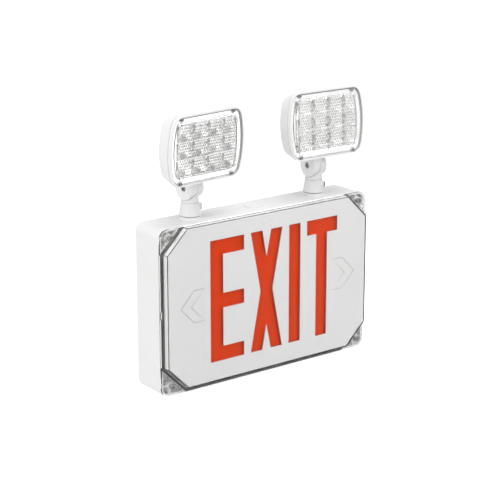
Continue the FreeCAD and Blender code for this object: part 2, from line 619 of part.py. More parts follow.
# ---------------------------------------------------------------- clear cover
def make_cover():
    """The clear moulded cover: thin flange, raised eight-sided window and four ribbed corner pads."""
    flange = rounded_plate(HALF_W, HALF_H, HOUSING_CORNER, GASKET_FRONT, FLANGE_FRONT)
    raised = plate(window_points(0), GASKET_FRONT, WINDOW_FRONT)
    front_edges = [e for e in raised.Edges if e.BoundBox.YMax < -WINDOW_FRONT + 0.01]
    raised = raised.makeFillet(WINDOW_WALL / 2, front_edges)
    cover = flange.fuse(raised)
    ladder_half = LADDER_PITCH * LADDER_CELLS / 2
    ladder_front = FLANGE_FRONT + LADDER_RISE
    rails = (LADDER_OUT, LADDER_OUT + LADDER_WIDTH)
    added = []
    for x, z in COVER_SCREW_PLACES:
        side = math.copysign(1, x)
        lift = math.copysign(1, z)
        added.append(hexagon(SCREW_SEAT_FLATS, SCREW_SEAT - GASKET_FRONT, Vector(x, -GASKET_FRONT, z),
                             Vector(0, -1, 0)))
        for out in rails:
            ends = [pad_point(side, lift, out, along) for along in (-ladder_half, ladder_half)]
            added.append(rib(ends[0], ends[1], LADDER_RIB, GASKET_FRONT, ladder_front))
        for i in range(LADDER_CELLS + 1):
            along = i * LADDER_PITCH - ladder_half
            ends = [pad_point(side, lift, out, along) for out in rails]
            added.append(rib(ends[0], ends[1], LADDER_RIB, GASKET_FRONT, ladder_front))
        bar_x = x + side * PEG_OUT
        upper, lower = (z - lift * PEG_DROP, z - lift * (PEG_DROP + PEG_PITCH))
        added.append(rib((bar_x, upper + lift * PEG_BAR_END), (bar_x, lower - lift * PEG_BAR_END),
                         LADDER_RIB, GASKET_FRONT, SCREW_SEAT))
        added += [rod(PEG_RADIUS, Vector(bar_x, -GASKET_FRONT, peg_z), Vector(bar_x, -ladder_front, peg_z))
                  for peg_z in (upper, lower)]
    hollow = plate(window_points(WINDOW_WALL), GASKET_FRONT - 1, WINDOW_BACK)
    cuts = [rod(COVER_SCREW_RADIUS + SCREW_FREE, Vector(x, -HOUSING_DEPTH, z), Vector(x, -WINDOW_FRONT, z))
            for x, z in COVER_SCREW_PLACES]
    cuts += [rod(COVER_SCREW_HEAD_RADIUS + SCREW_FREE, Vector(x, -SCREW_SEAT, z), Vector(x, -WINDOW_FRONT, z))
             for x, z in COVER_SCREW_PLACES]
    notch_half = PRY_NOTCH_WIDTH / 2
    cuts.append(box(-HALF_W - 1, -HALF_W + PRY_NOTCH_DEPTH, -GASKET_FRONT, -FLANGE_FRONT - 1,
                    -notch_half, notch_half))
    return cover.multiFuse(added).cut(hollow).cut(Part.makeCompound(cuts)).removeSplitter()


def make_cover_screws():
    """Four stainless pan-head screws, one in each corner pad."""
    screws = []
    for x, z in COVER_SCREW_PLACES:
        tip = Vector(x, -SCREW_SEAT + COVER_SCREW_LENGTH, z)
        screws.append(pan_screw(tip, (0, -1, 0), COVER_SCREW_RADIUS, COVER_SCREW_LENGTH,
                                COVER_SCREW_HEAD_RADIUS, COVER_SCREW_HEAD_THICK))
    return screws


# ---------------------------------------------------------------- sign face and its light
def chevron_points(side, inset):
    """One pointing chevron knock-out, drawn in by the given amount."""
    tip = CHEVRON_TIP - inset * 1.4
    inner = CHEVRON_INNER + inset
    outer = CHEVRON_OUTER - inset * 0.4
    notch = CHEVRON_NOTCH + inset * 1.4
    half = CHEVRON_HALF_HEIGHT - inset
    mid = CHEVRON_MID_HEIGHT
    return [(side * tip, mid), (side * outer, mid + half), (side * inner, mid + half),
            (side * notch, mid), (side * inner, mid - half), (side * outer, mid - half)]


def make_stencil_face():
    """The white sign face: a plate with a skirt, a spacer ring behind it and two chevrons scored in it."""
    inset = WINDOW_WALL + FACE_SIDE_GAP
    skirt_back = FACE_FRONT - FACE_SKIRT_DEPTH
    face = plate(window_points(inset), skirt_back, FACE_FRONT)
    face = face.cut(plate(window_points(inset + FACE_THICK), skirt_back - 1, FACE_BACK))
    spacer = plate(window_points(SPACER_INSET), RED_FRONT + FACE_GAP, FACE_BACK)
    spacer = spacer.cut(plate(window_points(SPACER_INSET + SPACER_WALL), RED_FRONT, FACE_BACK + 1))
    face = face.fuse(spacer).removeSplitter()
    groove_back = FACE_FRONT - CHEVRON_GROOVE_DEPTH
    for side in (-1, 1):
        groove = plate(chevron_points(side, 0), groove_back, FACE_FRONT + 1)
        groove = groove.cut(plate(chevron_points(side, CHEVRON_GROOVE), groove_back - 1, FACE_FRONT + 2))
        face = face.cut(groove)
    return face


def make_red_panel():
    """The red sheet that lies on the tray's edge, behind the sign face."""
    return plate(window_points(TRAY_INSET), RED_BACK, RED_FRONT)


def make_light_tray():
    """The white tray behind the red panel: it holds the lamp strips and hides the electrics."""
    tray = plate(window_points(TRAY_INSET), TRAY_BACK, TRAY_FRONT)
    tray = tray.cut(plate(window_points(TRAY_INSET + TRAY_WALL), TRAY_BACK + TRAY_WALL, TRAY_FRONT + 1))
    holes = [rod(SMALL_SCREW_RADIUS + SCREW_FREE, Vector(x, -TRAY_BACK + 1, z), Vector(x, -TRAY_FRONT, z))
             for x, z in TRAY_POST_PLACES]
    return tray.cut(Part.makeCompound(holes))


def strip_heights():
    """Height of the inner faces of the tray's top and bottom walls."""
    inset = TRAY_INSET + TRAY_WALL
    return HALF_H - WINDOW_TOP_MARGIN - inset, -HALF_H + WINDOW_BOTTOM_MARGIN + inset


def make_lamp_strips():
    """Two strips of small lamps on narrow boards, along the top and bottom walls of the tray."""
    top, bottom = strip_heights()
    middle = (TRAY_BACK + TRAY_WALL + TRAY_FRONT) / 2
    y0, y1 = -middle - STRIP_BOARD_HEIGHT / 2, -middle + STRIP_BOARD_HEIGHT / 2
    half = STRIP_LED_SIZE / 2
    strips = []
    for wall, inward in ((top, -1), (bottom, 1)):
        face = wall + inward * STRIP_BOARD_THICK
        lamps = []
        for i in range(STRIP_LED_COUNT):
            x = (i + 0.5 - STRIP_LED_COUNT / 2) * STRIP_LENGTH / STRIP_LED_COUNT
            lamps.append(box(x - half, x + half, -middle - half, -middle + half,
                             face, face + inward * STRIP_LED_HEIGHT))
        strips.append(box(-STRIP_LENGTH / 2, STRIP_LENGTH / 2, y0, y1, wall, face).multiFuse(lamps))
    return strips


# ---------------------------------------------------------------- wire entries
def make_grommet():
    """The rubber bush that lines the wire entry in the back wall."""
    sleeve = rod(WIRE_ENTRY_RADIUS, Vector(0, 0, 0), Vector(0, -BACK_WALL, 0))
    lip = rod(WIRE_ENTRY_RADIUS + GROMMET_LIP, Vector(0, -BACK_WALL, 0),
              Vector(0, -BACK_WALL - GROMMET_LIP_THICK, 0))
    bore = rod(GROMMET_BORE_RADIUS, Vector(0, 1, 0), Vector(0, -BACK_WALL - GROMMET_LIP_THICK - 1, 0))
    return sleeve.fuse(lip).cut(bore).removeSplitter()


def make_conduit_plug():
    """The threaded plug that closes the conduit entry in the top wall."""
    seat = HALF_H - CONDUIT_SINK
    head = rod(CONDUIT_PLUG_HEAD_RADIUS, Vector(0, HEAD_Y, seat),
               Vector(0, HEAD_Y, seat + CONDUIT_PLUG_HEAD_THICK))
    body = rod(CONDUIT_HOLE_RADIUS, Vector(0, HEAD_Y, seat - CONDUIT_PLUG_LENGTH), Vector(0, HEAD_Y, seat))
    hollow = rod(CONDUIT_HOLE_RADIUS - CONDUIT_PLUG_WALL, Vector(0, HEAD_Y, seat - CONDUIT_PLUG_LENGTH - 1),
                 Vector(0, HEAD_Y, seat - CONDUIT_PLUG_WALL))
    slot = box(-CONDUIT_SLOT_LENGTH / 2, CONDUIT_SLOT_LENGTH / 2,
               HEAD_Y - CONDUIT_SLOT_WIDTH / 2, HEAD_Y + CONDUIT_SLOT_WIDTH / 2,
               seat + CONDUIT_PLUG_HEAD_THICK / 2, seat + CONDUIT_PLUG_HEAD_THICK + 1)
    return head.fuse(body).cut(hollow.fuse(slot)).removeSplitter()


# ---------------------------------------------------------------- battery and electrics
def make_battery():
    """Five cells side by side in one shrink sleeve, standing against the back wall."""
    y = -BACK_WALL - CELL_RADIUS - CELL_WRAP
    half = CELL_LENGTH / 2 + CELL_WRAP
    radius = CELL_RADIUS + CELL_WRAP
    first = BATTERY_X - CELL_RADIUS * (CELL_COUNT - 1)
    last = BATTERY_X + CELL_RADIUS * (CELL_COUNT - 1)
    pack = box(first, last, y - radius, y + radius, BATTERY_Z - half, BATTERY_Z + half)
    for x in (first, last):
        pack = pack.fuse(rod(radius, Vector(x, y, BATTERY_Z - half), Vector(x, y, BATTERY_Z + half)))
    for i in range(CELL_COUNT - 1):
        x = first + CELL_RADIUS * (2 * i + 1)
        for face in (-1, 1):
            low = Vector(x, y + face * (radius + CELL_VALLEY_OUT), BATTERY_Z - half - 1)
            pack = pack.cut(rod(CELL_VALLEY_RADIUS, low, low + Vector(0, 0, 2 * half + 2)))
    return pack.removeSplitter()


def make_strap():
    """The folded steel strap that holds the battery to two posts."""
    front = BACK_WALL + 2 * (CELL_RADIUS + CELL_WRAP) + SCREW_FREE
    half = CELL_LENGTH / 2 + CELL_WRAP + SCREW_FREE
    outer = half + STRAP_THICK
    foot_back, foot_front = LOW_POST_REACH, LOW_POST_REACH + STRAP_THICK
    end = outer + STRAP_FOOT
    x0, x1 = BATTERY_X - STRAP_WIDTH / 2, BATTERY_X + STRAP_WIDTH / 2
    profile = [(-foot_back, -end), (-foot_back, -half), (-front, -half), (-front, half), (-foot_back, half),
               (-foot_back, end), (-foot_front, end), (-foot_front, outer), (-front - STRAP_THICK, outer),
               (-front - STRAP_THICK, -outer), (-foot_front, -outer), (-foot_front, -end)]
    points = [Vector(x0, y, BATTERY_Z + z) for y, z in profile]
    strap = Part.Face(Part.makePolygon(points + points[:1])).extrude(Vector(x1 - x0, 0, 0))
    for x, z in STRAP_HOLES:
        strap = strap.cut(rod(SMALL_SCREW_RADIUS + SCREW_FREE, Vector(x, 0, z),
                              Vector(x, -2 * foot_front, z)))
    return strap


def make_board():
    """The charger's circuit board on its four posts."""
    board = box(BOARD_X - BOARD_WIDTH / 2, BOARD_X + BOARD_WIDTH / 2,
                -BOARD_REACH - BOARD_THICK, -BOARD_REACH,
                BOARD_Z - BOARD_HEIGHT / 2, BOARD_Z + BOARD_HEIGHT / 2)
    holes = [rod(SMALL_SCREW_RADIUS + SCREW_FREE, Vector(x, 0, z), Vector(x, -2 * BOARD_REACH, z))
             for x, z in BOARD_HOLES]
    return board.cut(Part.makeCompound(holes))


def on_board(place, size, lift=0.0):
    """A block that stands on the board, from its width, height off the board and length up the board."""
    face = -BOARD_REACH - BOARD_THICK - lift
    x, z = BOARD_X + place[0], BOARD_Z + place[1]
    return box(x - size[0] / 2, x + size[0] / 2, face, face - size[1], z - size[2] / 2, z + size[2] / 2)


def make_board_parts():
    """Relay, two smoothing capacitors, a heat sink and two plug headers on the board."""
    face = -BOARD_REACH - BOARD_THICK
    parts = [on_board(RELAY_PLACE, RELAY_SIZE)]
    for dx, dz, radius, height in CAPACITORS:
        base = Vector(BOARD_X + dx, face, BOARD_Z + dz)
        can = rod(radius, base, base - Vector(0, height, 0))
        top = [e for e in can.Edges if len(e.Vertexes) == 1 and e.BoundBox.YMax < face - height / 2]
        parts.append(can.makeFillet(CAPACITOR_EDGE, top))
    sink = on_board(SINK_PLACE, SINK_SIZE)
    for i in (-1, 0, 1):
        place = (SINK_PLACE[0], SINK_PLACE[1] + i * SINK_PITCH)
        sink = sink.cut(on_board(place, (SINK_SIZE[0] + 2, SINK_SIZE[1], SINK_SLOT), SINK_BASE))
    parts.append(sink)
    inner = (HEADER_SIZE[0] - 2 * HEADER_WALL, HEADER_SIZE[1], HEADER_SIZE[2] - 2 * HEADER_WALL)
    for place in HEADER_PLACES:
        parts.append(on_board(place, HEADER_SIZE).cut(on_board(place, inner, HEADER_FLOOR)))
    return parts


def make_transformer():
    """A laminated core with its winding and a folded mounting frame."""
    x, z = TRANSFORMER_X, TRANSFORMER_Z
    back = LOW_POST_REACH
    front = back + TRANSFORMER_DEPTH
    half_w, half_h = TRANSFORMER_WIDTH / 2, TRANSFORMER_HEIGHT / 2
    core = box(x - half_w, x + half_w, -back - TRANSFORMER_CORE_INSET, -front + TRANSFORMER_CORE_INSET,
               z - half_h, z + half_h)
    winding = box(x - WINDING_WIDTH / 2, x + WINDING_WIDTH / 2, -back - TRANSFORMER_FOOT_THICK, -front,
                  z - WINDING_HEIGHT / 2, z + WINDING_HEIGHT / 2)
    winding = winding.makeFillet(WINDING_EDGE, [e for e in winding.Edges if e.BoundBox.ZLength > half_h])
    end = half_w + TRANSFORMER_FOOT
    low, high = z - FRAME_HEIGHT / 2, z + FRAME_HEIGHT / 2
    frame = box(x - end, x + end, -back, -back - TRANSFORMER_FOOT_THICK, low, high)
    for side in (-1, 1):
        edge = x + side * half_w
        frame = frame.fuse(box(edge, edge + side * TRANSFORMER_FOOT_THICK, -back,
                               -front + TRANSFORMER_CORE_INSET, low, high))
    for hole_x, hole_z in TRANSFORMER_HOLES:
        frame = frame.cut(rod(SMALL_SCREW_RADIUS + SCREW_FREE, Vector(hole_x, 0, hole_z),
                              Vector(hole_x, -2 * back, hole_z)))
    return core.fuse(winding).fuse(frame).removeSplitter()


def make_terminal_block():
    """The supply terminals: one moulded strip with a wire port and a screw well for each way."""
    width = TERMINAL_WAYS * TERMINAL_PITCH
    front = -BACK_WALL - TERMINAL_DEPTH
    low, high = TERMINAL_Z - TERMINAL_HEIGHT / 2, TERMINAL_Z + TERMINAL_HEIGHT / 2
    block = box(TERMINAL_X - width / 2, TERMINAL_X + width / 2, -BACK_WALL, front, low, high)
    screw_z = TERMINAL_Z + TERMINAL_SCREW_RISE
    wire_y = -BACK_WALL - TERMINAL_WIRE_REACH
    cuts = []
    for i in range(TERMINAL_WAYS):
        x = TERMINAL_X + (i + 0.5 - TERMINAL_WAYS / 2) * TERMINAL_PITCH
        cuts.append(rod(TERMINAL_SCREW_RADIUS, Vector(x, front - 1, screw_z),
                        Vector(x, front + TERMINAL_SCREW_DEPTH, screw_z)))
        cuts.append(rod(TERMINAL_WIRE_RADIUS, Vector(x, wire_y, low - 1), Vector(x, wire_y, TERMINAL_Z)))
        if i:
            edge = x - TERMINAL_PITCH / 2
            cuts.append(box(edge - TERMINAL_NOTCH / 2, edge + TERMINAL_NOTCH / 2,
                            front - 1, front + TERMINAL_NOTCH_DEPTH, low - 1, high + 1))
    return block.cut(Part.makeCompound(cuts))


def make_inner_screws():
    """The small screws that hold the board, strap, transformer and tray to the housing's posts."""
    seats = [(x, z, BOARD_REACH + BOARD_THICK) for x, z in BOARD_HOLES]
    seats += [(x, z, TRAY_BACK + TRAY_WALL) for x, z in TRAY_POST_PLACES]
    seats += [(x, z, LOW_POST_REACH + STRAP_THICK) for x, z in STRAP_HOLES]
    seats += [(x, z, LOW_POST_REACH + TRANSFORMER_FOOT_THICK) for x, z in TRANSFORMER_HOLES]
    return [pan_screw(Vector(x, -seat + SMALL_SCREW_LENGTH, z), (0, -1, 0), SMALL_SCREW_RADIUS,
                      SMALL_SCREW_LENGTH, SMALL_SCREW_HEAD_RADIUS, SMALL_SCREW_HEAD_THICK)
            for x, z, seat in seats]


# ---------------------------------------------------------------- test button and pilot light
def make_test_switch():
    """The push switch inside the bottom wall; its threaded barrel comes out through the wall."""
    floor = -WALL_SEAT
    half = SWITCH_SIZE / 2
    body = box(BUTTON_X - half, BUTTON_X + half, BUTTON_Y - half, BUTTON_Y + half,
               floor, floor + SWITCH_HEIGHT)
    barrel = rod(SWITCH_BARREL_RADIUS, Vector(BUTTON_X, BUTTON_Y, -HALF_H - BEZEL_THICK),
                 Vector(BUTTON_X, BUTTON_Y, floor + 1))
    well = rod(BUTTON_FLANGE_RADIUS + SCREW_FREE, Vector(BUTTON_X, BUTTON_Y, floor + SWITCH_WALL),
               Vector(BUTTON_X, BUTTON_Y, floor + SWITCH_HEIGHT - SWITCH_WALL))
    bore = rod(BUTTON_RADIUS + BUTTON_FREE, Vector(BUTTON_X, BUTTON_Y, -HALF_H - 2 * BEZEL_THICK),
               Vector(BUTTON_X, BUTTON_Y, floor + SWITCH_WALL + 1))
    body = body.fuse(barrel).cut(well.fuse(bore))
    thick, wide, tall = SWITCH_PIN
    for side in (-1, 1):
        x = BUTTON_X + side * SWITCH_PIN_PITCH / 2
        body = body.fuse(box(x - thick / 2, x + thick / 2, BUTTON_Y - wide / 2, BUTTON_Y + wide / 2,
                             floor + SWITCH_HEIGHT - SWITCH_WALL / 2, floor + SWITCH_HEIGHT + tall))
    return body.removeSplitter()


def make_switch_nut():
    """The ring nut that clamps the switch's barrel to the bottom wall."""
    low, high = Vector(BUTTON_X, BUTTON_Y, -HALF_H - BEZEL_THICK), Vector(BUTTON_X, BUTTON_Y, -HALF_H)
    ring = cone(BEZEL_RADIUS - BEZEL_THICK / 2, BEZEL_RADIUS, low, high)
    return ring.cut(rod(SWITCH_BARREL_RADIUS, low - Vector(0, 0, 1), high + Vector(0, 0, 1)))


def button_flange_floor():
    """Height where the button's inner flange rests."""
    return -WALL_SEAT + SWITCH_WALL


def make_test_button():
    """The push button: a domed plunger with the flange that keeps it in the barrel."""
    low = Vector(BUTTON_X, BUTTON_Y, -HALF_H - BEZEL_THICK - BUTTON_PROUD)
    flange = button_flange_floor() + BUTTON_FREE
    plunger = rod(BUTTON_RADIUS, low, Vector(BUTTON_X, BUTTON_Y, flange + 0.5))
    tip = [e for e in plunger.Edges if len(e.Vertexes) == 1 and e.BoundBox.ZMax < low.z + 0.1]
    plunger = plunger.makeFillet(BUTTON_EDGE, tip)
    stop = rod(BUTTON_FLANGE_RADIUS, Vector(BUTTON_X, BUTTON_Y, flange),
               Vector(BUTTON_X, BUTTON_Y, flange + BUTTON_FLANGE_THICK))
    return plunger.fuse(stop).removeSplitter()


def make_button_spring():
    """The coil spring that pushes the button out again."""
    seat = button_flange_floor() + BUTTON_FREE + BUTTON_FLANGE_THICK
    roof = -WALL_SEAT + SWITCH_HEIGHT - SWITCH_WALL
    half = SPRING_WIRE / 2
    height = roof - seat - SPRING_WIRE - 2 * BUTTON_FREE
    helix = Part.makeHelix(height / SPRING_TURNS, height, SPRING_RADIUS)
    section = Part.Wire([Part.Circle(Vector(SPRING_RADIUS, 0, 0), Vector(0, 1, 0), half).toShape()])
    coil = Part.Wire(helix.Edges).makePipeShell([section], True, True)
    coil.translate(Vector(BUTTON_X, BUTTON_Y, seat + half + BUTTON_FREE))
    return coil


def make_pilot_light():
    """The small domed light beside the button that shows the charge."""
    base = Vector(PILOT_X, BUTTON_Y, -HALF_H)
    low = base - Vector(0, 0, PILOT_PROUD)
    lens = rod(PILOT_RADIUS, low, base + Vector(0, 0, PILOT_LENGTH))
    tip = [e for e in lens.Edges if len(e.Vertexes) == 1 and e.BoundBox.ZMax < low.z + 0.1]
    lens = lens.makeFillet(PILOT_DOME, tip)
    inside = Vector(PILOT_X, BUTTON_Y, -WALL_SEAT)
    collar = rod(PILOT_RADIUS + PILOT_COLLAR, inside, inside + Vector(0, 0, PILOT_COLLAR))
    return lens.fuse(collar).removeSplitter()


# ---------------------------------------------------------------- lamp head mounting, fixed to the housing
# These pieces are drawn about the middle of the housing's top boss and then moved to the left or right head.
def make_collar(angle):
    """The cone-shaped collar: a threaded spigot below, a bore for the stem and a boss for the set screw."""
    base, top = COLLAR_BASE, COLLAR_TOP
    body = cone(COLLAR_BASE_RADIUS, COLLAR_TOP_RADIUS, Vector(0, 0, base), Vector(0, 0, top))
    lower = [e for e in body.Edges if len(e.Vertexes) == 1 and e.BoundBox.ZMax < base + 0.1]
    body = body.makeFillet(COLLAR_EDGE, lower)
    spigot = rod(COLLAR_SPIGOT_RADIUS, Vector(0, 0, base - COLLAR_SPIGOT_LENGTH), Vector(0, 0, base + 1))
    toward = Vector(math.cos(math.radians(angle)), math.sin(math.radians(angle)), 0)
    centre = Vector(0, 0, base + SET_BOSS_HEIGHT)
    boss = rod(SET_BOSS_RADIUS, centre, centre + toward * SET_BOSS_REACH)
    bore = rod(STEM_RADIUS + STEM_FREE, Vector(0, 0, base + COLLAR_FLOOR), Vector(0, 0, top + 1))
    wires = rod(WIRE_HOLE_RADIUS, Vector(0, 0, base - COLLAR_SPIGOT_LENGTH - 1),
                Vector(0, 0, base + COLLAR_FLOOR + 1))
    thread = rod(SET_SCREW_RADIUS, centre, centre + toward * (SET_BOSS_REACH + 1))
    sink = rod(SET_SCREW_HEAD_RADIUS + SCREW_FREE, centre + toward * (SET_BOSS_REACH - SET_SCREW_HEAD_SINK),
               centre + toward * (SET_BOSS_REACH + 1))
    return body.multiFuse([spigot, boss]).cut(bore.multiFuse([wires, thread, sink])).removeSplitter()


def make_collar_gasket():
    """The foam washer between the housing's top boss and the collar."""
    low, high = Vector(0, 0, COLLAR_BASE - COLLAR_GASKET_THICK), Vector(0, 0, COLLAR_BASE)
    ring = rod(COLLAR_GASKET_RADIUS, low, high)
    return ring.cut(rod(COLLAR_SPIGOT_RADIUS, low - Vector(0, 0, 1), high + Vector(0, 0, 1)))


def make_collar_nut():
    """The nut that holds the collar's spigot from inside the housing."""
    top = WALL_SEAT
    nut = hexagon(COLLAR_NUT_FLATS, COLLAR_NUT_THICK, Vector(0, 0, top - COLLAR_NUT_THICK), Vector(0, 0, 1))
    return nut.cut(rod(COLLAR_SPIGOT_RADIUS, Vector(0, 0, top - 2 * COLLAR_NUT_THICK), Vector(0, 0, top + 1)))


def make_set_screw(angle):
    """The dark screw in the collar's boss that runs in the stem's groove."""
    toward = Vector(math.cos(math.radians(angle)), math.sin(math.radians(angle)), 0)
    reach = STEM_RADIUS - STEM_GROOVE_DEPTH + SCREW_FREE
    tip = Vector(0, 0, COLLAR_BASE + SET_BOSS_HEIGHT) + toward * reach
    seat = SET_BOSS_REACH - SET_SCREW_HEAD_SINK
    return pan_screw(tip, toward, SET_SCREW_RADIUS, seat - reach,
                     SET_SCREW_HEAD_RADIUS, SET_SCREW_HEAD_SINK)


# ---------------------------------------------------------------- knuckle
# The knuckle and the lamp head are drawn about the tilt axis, which runs along X, then turned into place.
def make_knuckle():
    """The swivel knuckle: grooved stem, round neck and the one lug that the lamp head is clamped to."""
    top = -TILT_AXIS_RISE
    bottom = top - COLLAR_HEIGHT + COLLAR_FLOOR + STEM_END_GAP
    neck_base = top + LUG_GAP
    groove = top - COLLAR_HEIGHT + SET_BOSS_HEIGHT
    lug_inner = HEAD_LUG_INNER + LUG_GAP
    neck = rod(NECK_RADIUS, Vector(0, 0, neck_base), Vector(0, 0, 0))
    clear = LUG_GAP + TILT_SCREW_FREE
    seat = cone(HEAD_LUG_OUTER_RADIUS + clear, HEAD_LUG_INNER_RADIUS + clear,
                Vector(-HEAD_LUG_OUTER, 0, 0), Vector(lug_inner, 0, 0))
    beyond = rod(HEAD_LUG_OUTER_RADIUS + clear, Vector(-2 * HEAD_LUG_OUTER, 0, 0),
                 Vector(-HEAD_LUG_OUTER, 0, 0))
    above = box(-2 * NECK_RADIUS, lug_inner, -2 * NECK_RADIUS, 2 * NECK_RADIUS, -HEAD_LUG_INNER_RADIUS / 2, 1)
    neck = neck.cut(seat.multiFuse([beyond, above]))
    lug = rod(KNUCKLE_LUG_RADIUS, Vector(lug_inner, 0, 0), Vector(KNUCKLE_LUG_OUTER, 0, 0))
    body = neck.multiFuse([lug, rod(STEM_RADIUS, Vector(0, 0, bottom), Vector(0, 0, neck_base))])
    ring = rod(STEM_RADIUS + 1, Vector(0, 0, groove - STEM_GROOVE_HALF),
               Vector(0, 0, groove + STEM_GROOVE_HALF))
    ring = ring.cut(rod(STEM_RADIUS - STEM_GROOVE_DEPTH, Vector(0, 0, groove - 2 * STEM_GROOVE_HALF),
                        Vector(0, 0, groove + 2 * STEM_GROOVE_HALF)))
    wires = rod(WIRE_HOLE_RADIUS, Vector(0, 0, bottom - 1), Vector(0, 0, -HEAD_LUG_OUTER_RADIUS + LUG_GAP))
    bore = rod(TILT_SCREW_RADIUS, Vector(0, 0, 0), Vector(KNUCKLE_LUG_OUTER + 1, 0, 0))
    pocket = hexagon(TILT_NUT_FLATS + 2 * NUT_SLACK, TILT_NUT_THICK + 1,
                     Vector(KNUCKLE_LUG_OUTER - TILT_NUT_THICK, 0, 0), Vector(1, 0, 0))
    return body.cut(ring.multiFuse([wires, bore, pocket])).removeSplitter()


def make_tilt_screw():
    """The screw on the tilt axis: its head sits in the lamp head's lug and it threads into the knuckle."""
    seat = HEAD_LUG_OUTER - TILT_SCREW_HEAD_SINK + LUG_GAP / 2
    tip = KNUCKLE_LUG_OUTER - TILT_NUT_THICK / 4
    return pan_screw(Vector(tip, 0, 0), (-1, 0, 0), TILT_SCREW_RADIUS, tip + seat,
                     TILT_SCREW_HEAD_RADIUS, TILT_SCREW_HEAD_THICK)


def make_tilt_nut():
    """The hexagon nut in the knuckle's pocket."""
    nut = hexagon(TILT_NUT_FLATS, TILT_NUT_THICK, Vector(KNUCKLE_LUG_OUTER - TILT_NUT_THICK, 0, 0),
                  Vector(1, 0, 0))
    return nut.cut(rod(TILT_SCREW_RADIUS, Vector(0, 0, 0), Vector(KNUCKLE_LUG_OUTER + 1, 0, 0)))


# ---------------------------------------------------------------- lamp head
def lamp_wire(half_w, half_h, corner, front):
    """The lamp's outline at a distance in front of the tilt axis.

    Top and bottom are flat; each side is an arc that runs smoothly into its two corner arcs."""
    across = LAMP_FLAT_HALF - half_w
    up = half_h - corner
    bow = (corner ** 2 - across ** 2 - up ** 2) / (2 * (across + corner))
    centre = half_w - bow
    turn = math.atan2(up, LAMP_FLAT_HALF - centre)

    def at(sx, sz, x, z):
        return Vector(sx * x, -front, LAMP_RISE + sz * z)

    join = (centre + bow * math.cos(turn), bow * math.sin(turn))
    half_turn = (turn + math.pi / 2) / 2
    middle = (LAMP_FLAT_HALF + corner * math.cos(half_turn), up + corner * math.sin(half_turn))
    flat = (LAMP_FLAT_HALF, half_h)
    edges = []
    for sx, sz in ((1, 1), (1, -1), (-1, -1), (-1, 1)):
        corner_arc = [at(sx, sz, *flat), at(sx, sz, *middle), at(sx, sz, *join)]
        side_arc = [at(sx, sz, *join), at(sx, sz, half_w, 0), at(sx, -sz, *join)]
        if sx * sz > 0:
            edges.append(Part.LineSegment(at(-sx, sz, *flat), at(sx, sz, *flat)).toShape())
            edges.append(Part.Arc(*corner_arc).toShape())
            edges.append(Part.Arc(*side_arc).toShape())
        else:
            edges.append(Part.Arc(*reversed(corner_arc)).toShape())
    return Part.Wire(edges)


def lamp_plate(inset, back, front):
    """A plate of the lamp's front outline, brought in by an inset, between two distances from the axis."""
    wire = lamp_wire(LAMP_HALF_WIDTH - inset, LAMP_HALF_HEIGHT - inset, LAMP_CORNER - inset, back)
    return Part.Face(wire).extrude(Vector(0, back - front, 0))


def lamp_taper(front_inset, rear_inset, back, front):
    """The tapering body between the rear outline and the front outline, each brought in by its inset."""
    rear = lamp_wire(LAMP_REAR_HALF_WIDTH - rear_inset, LAMP_REAR_HALF_HEIGHT - rear_inset,
                     LAMP_REAR_CORNER - rear_inset, back)
    fore = lamp_wire(LAMP_HALF_WIDTH - front_inset, LAMP_HALF_HEIGHT - front_inset,
                     LAMP_CORNER - front_inset, front)
    return Part.makeLoft([rear, fore], True, True)


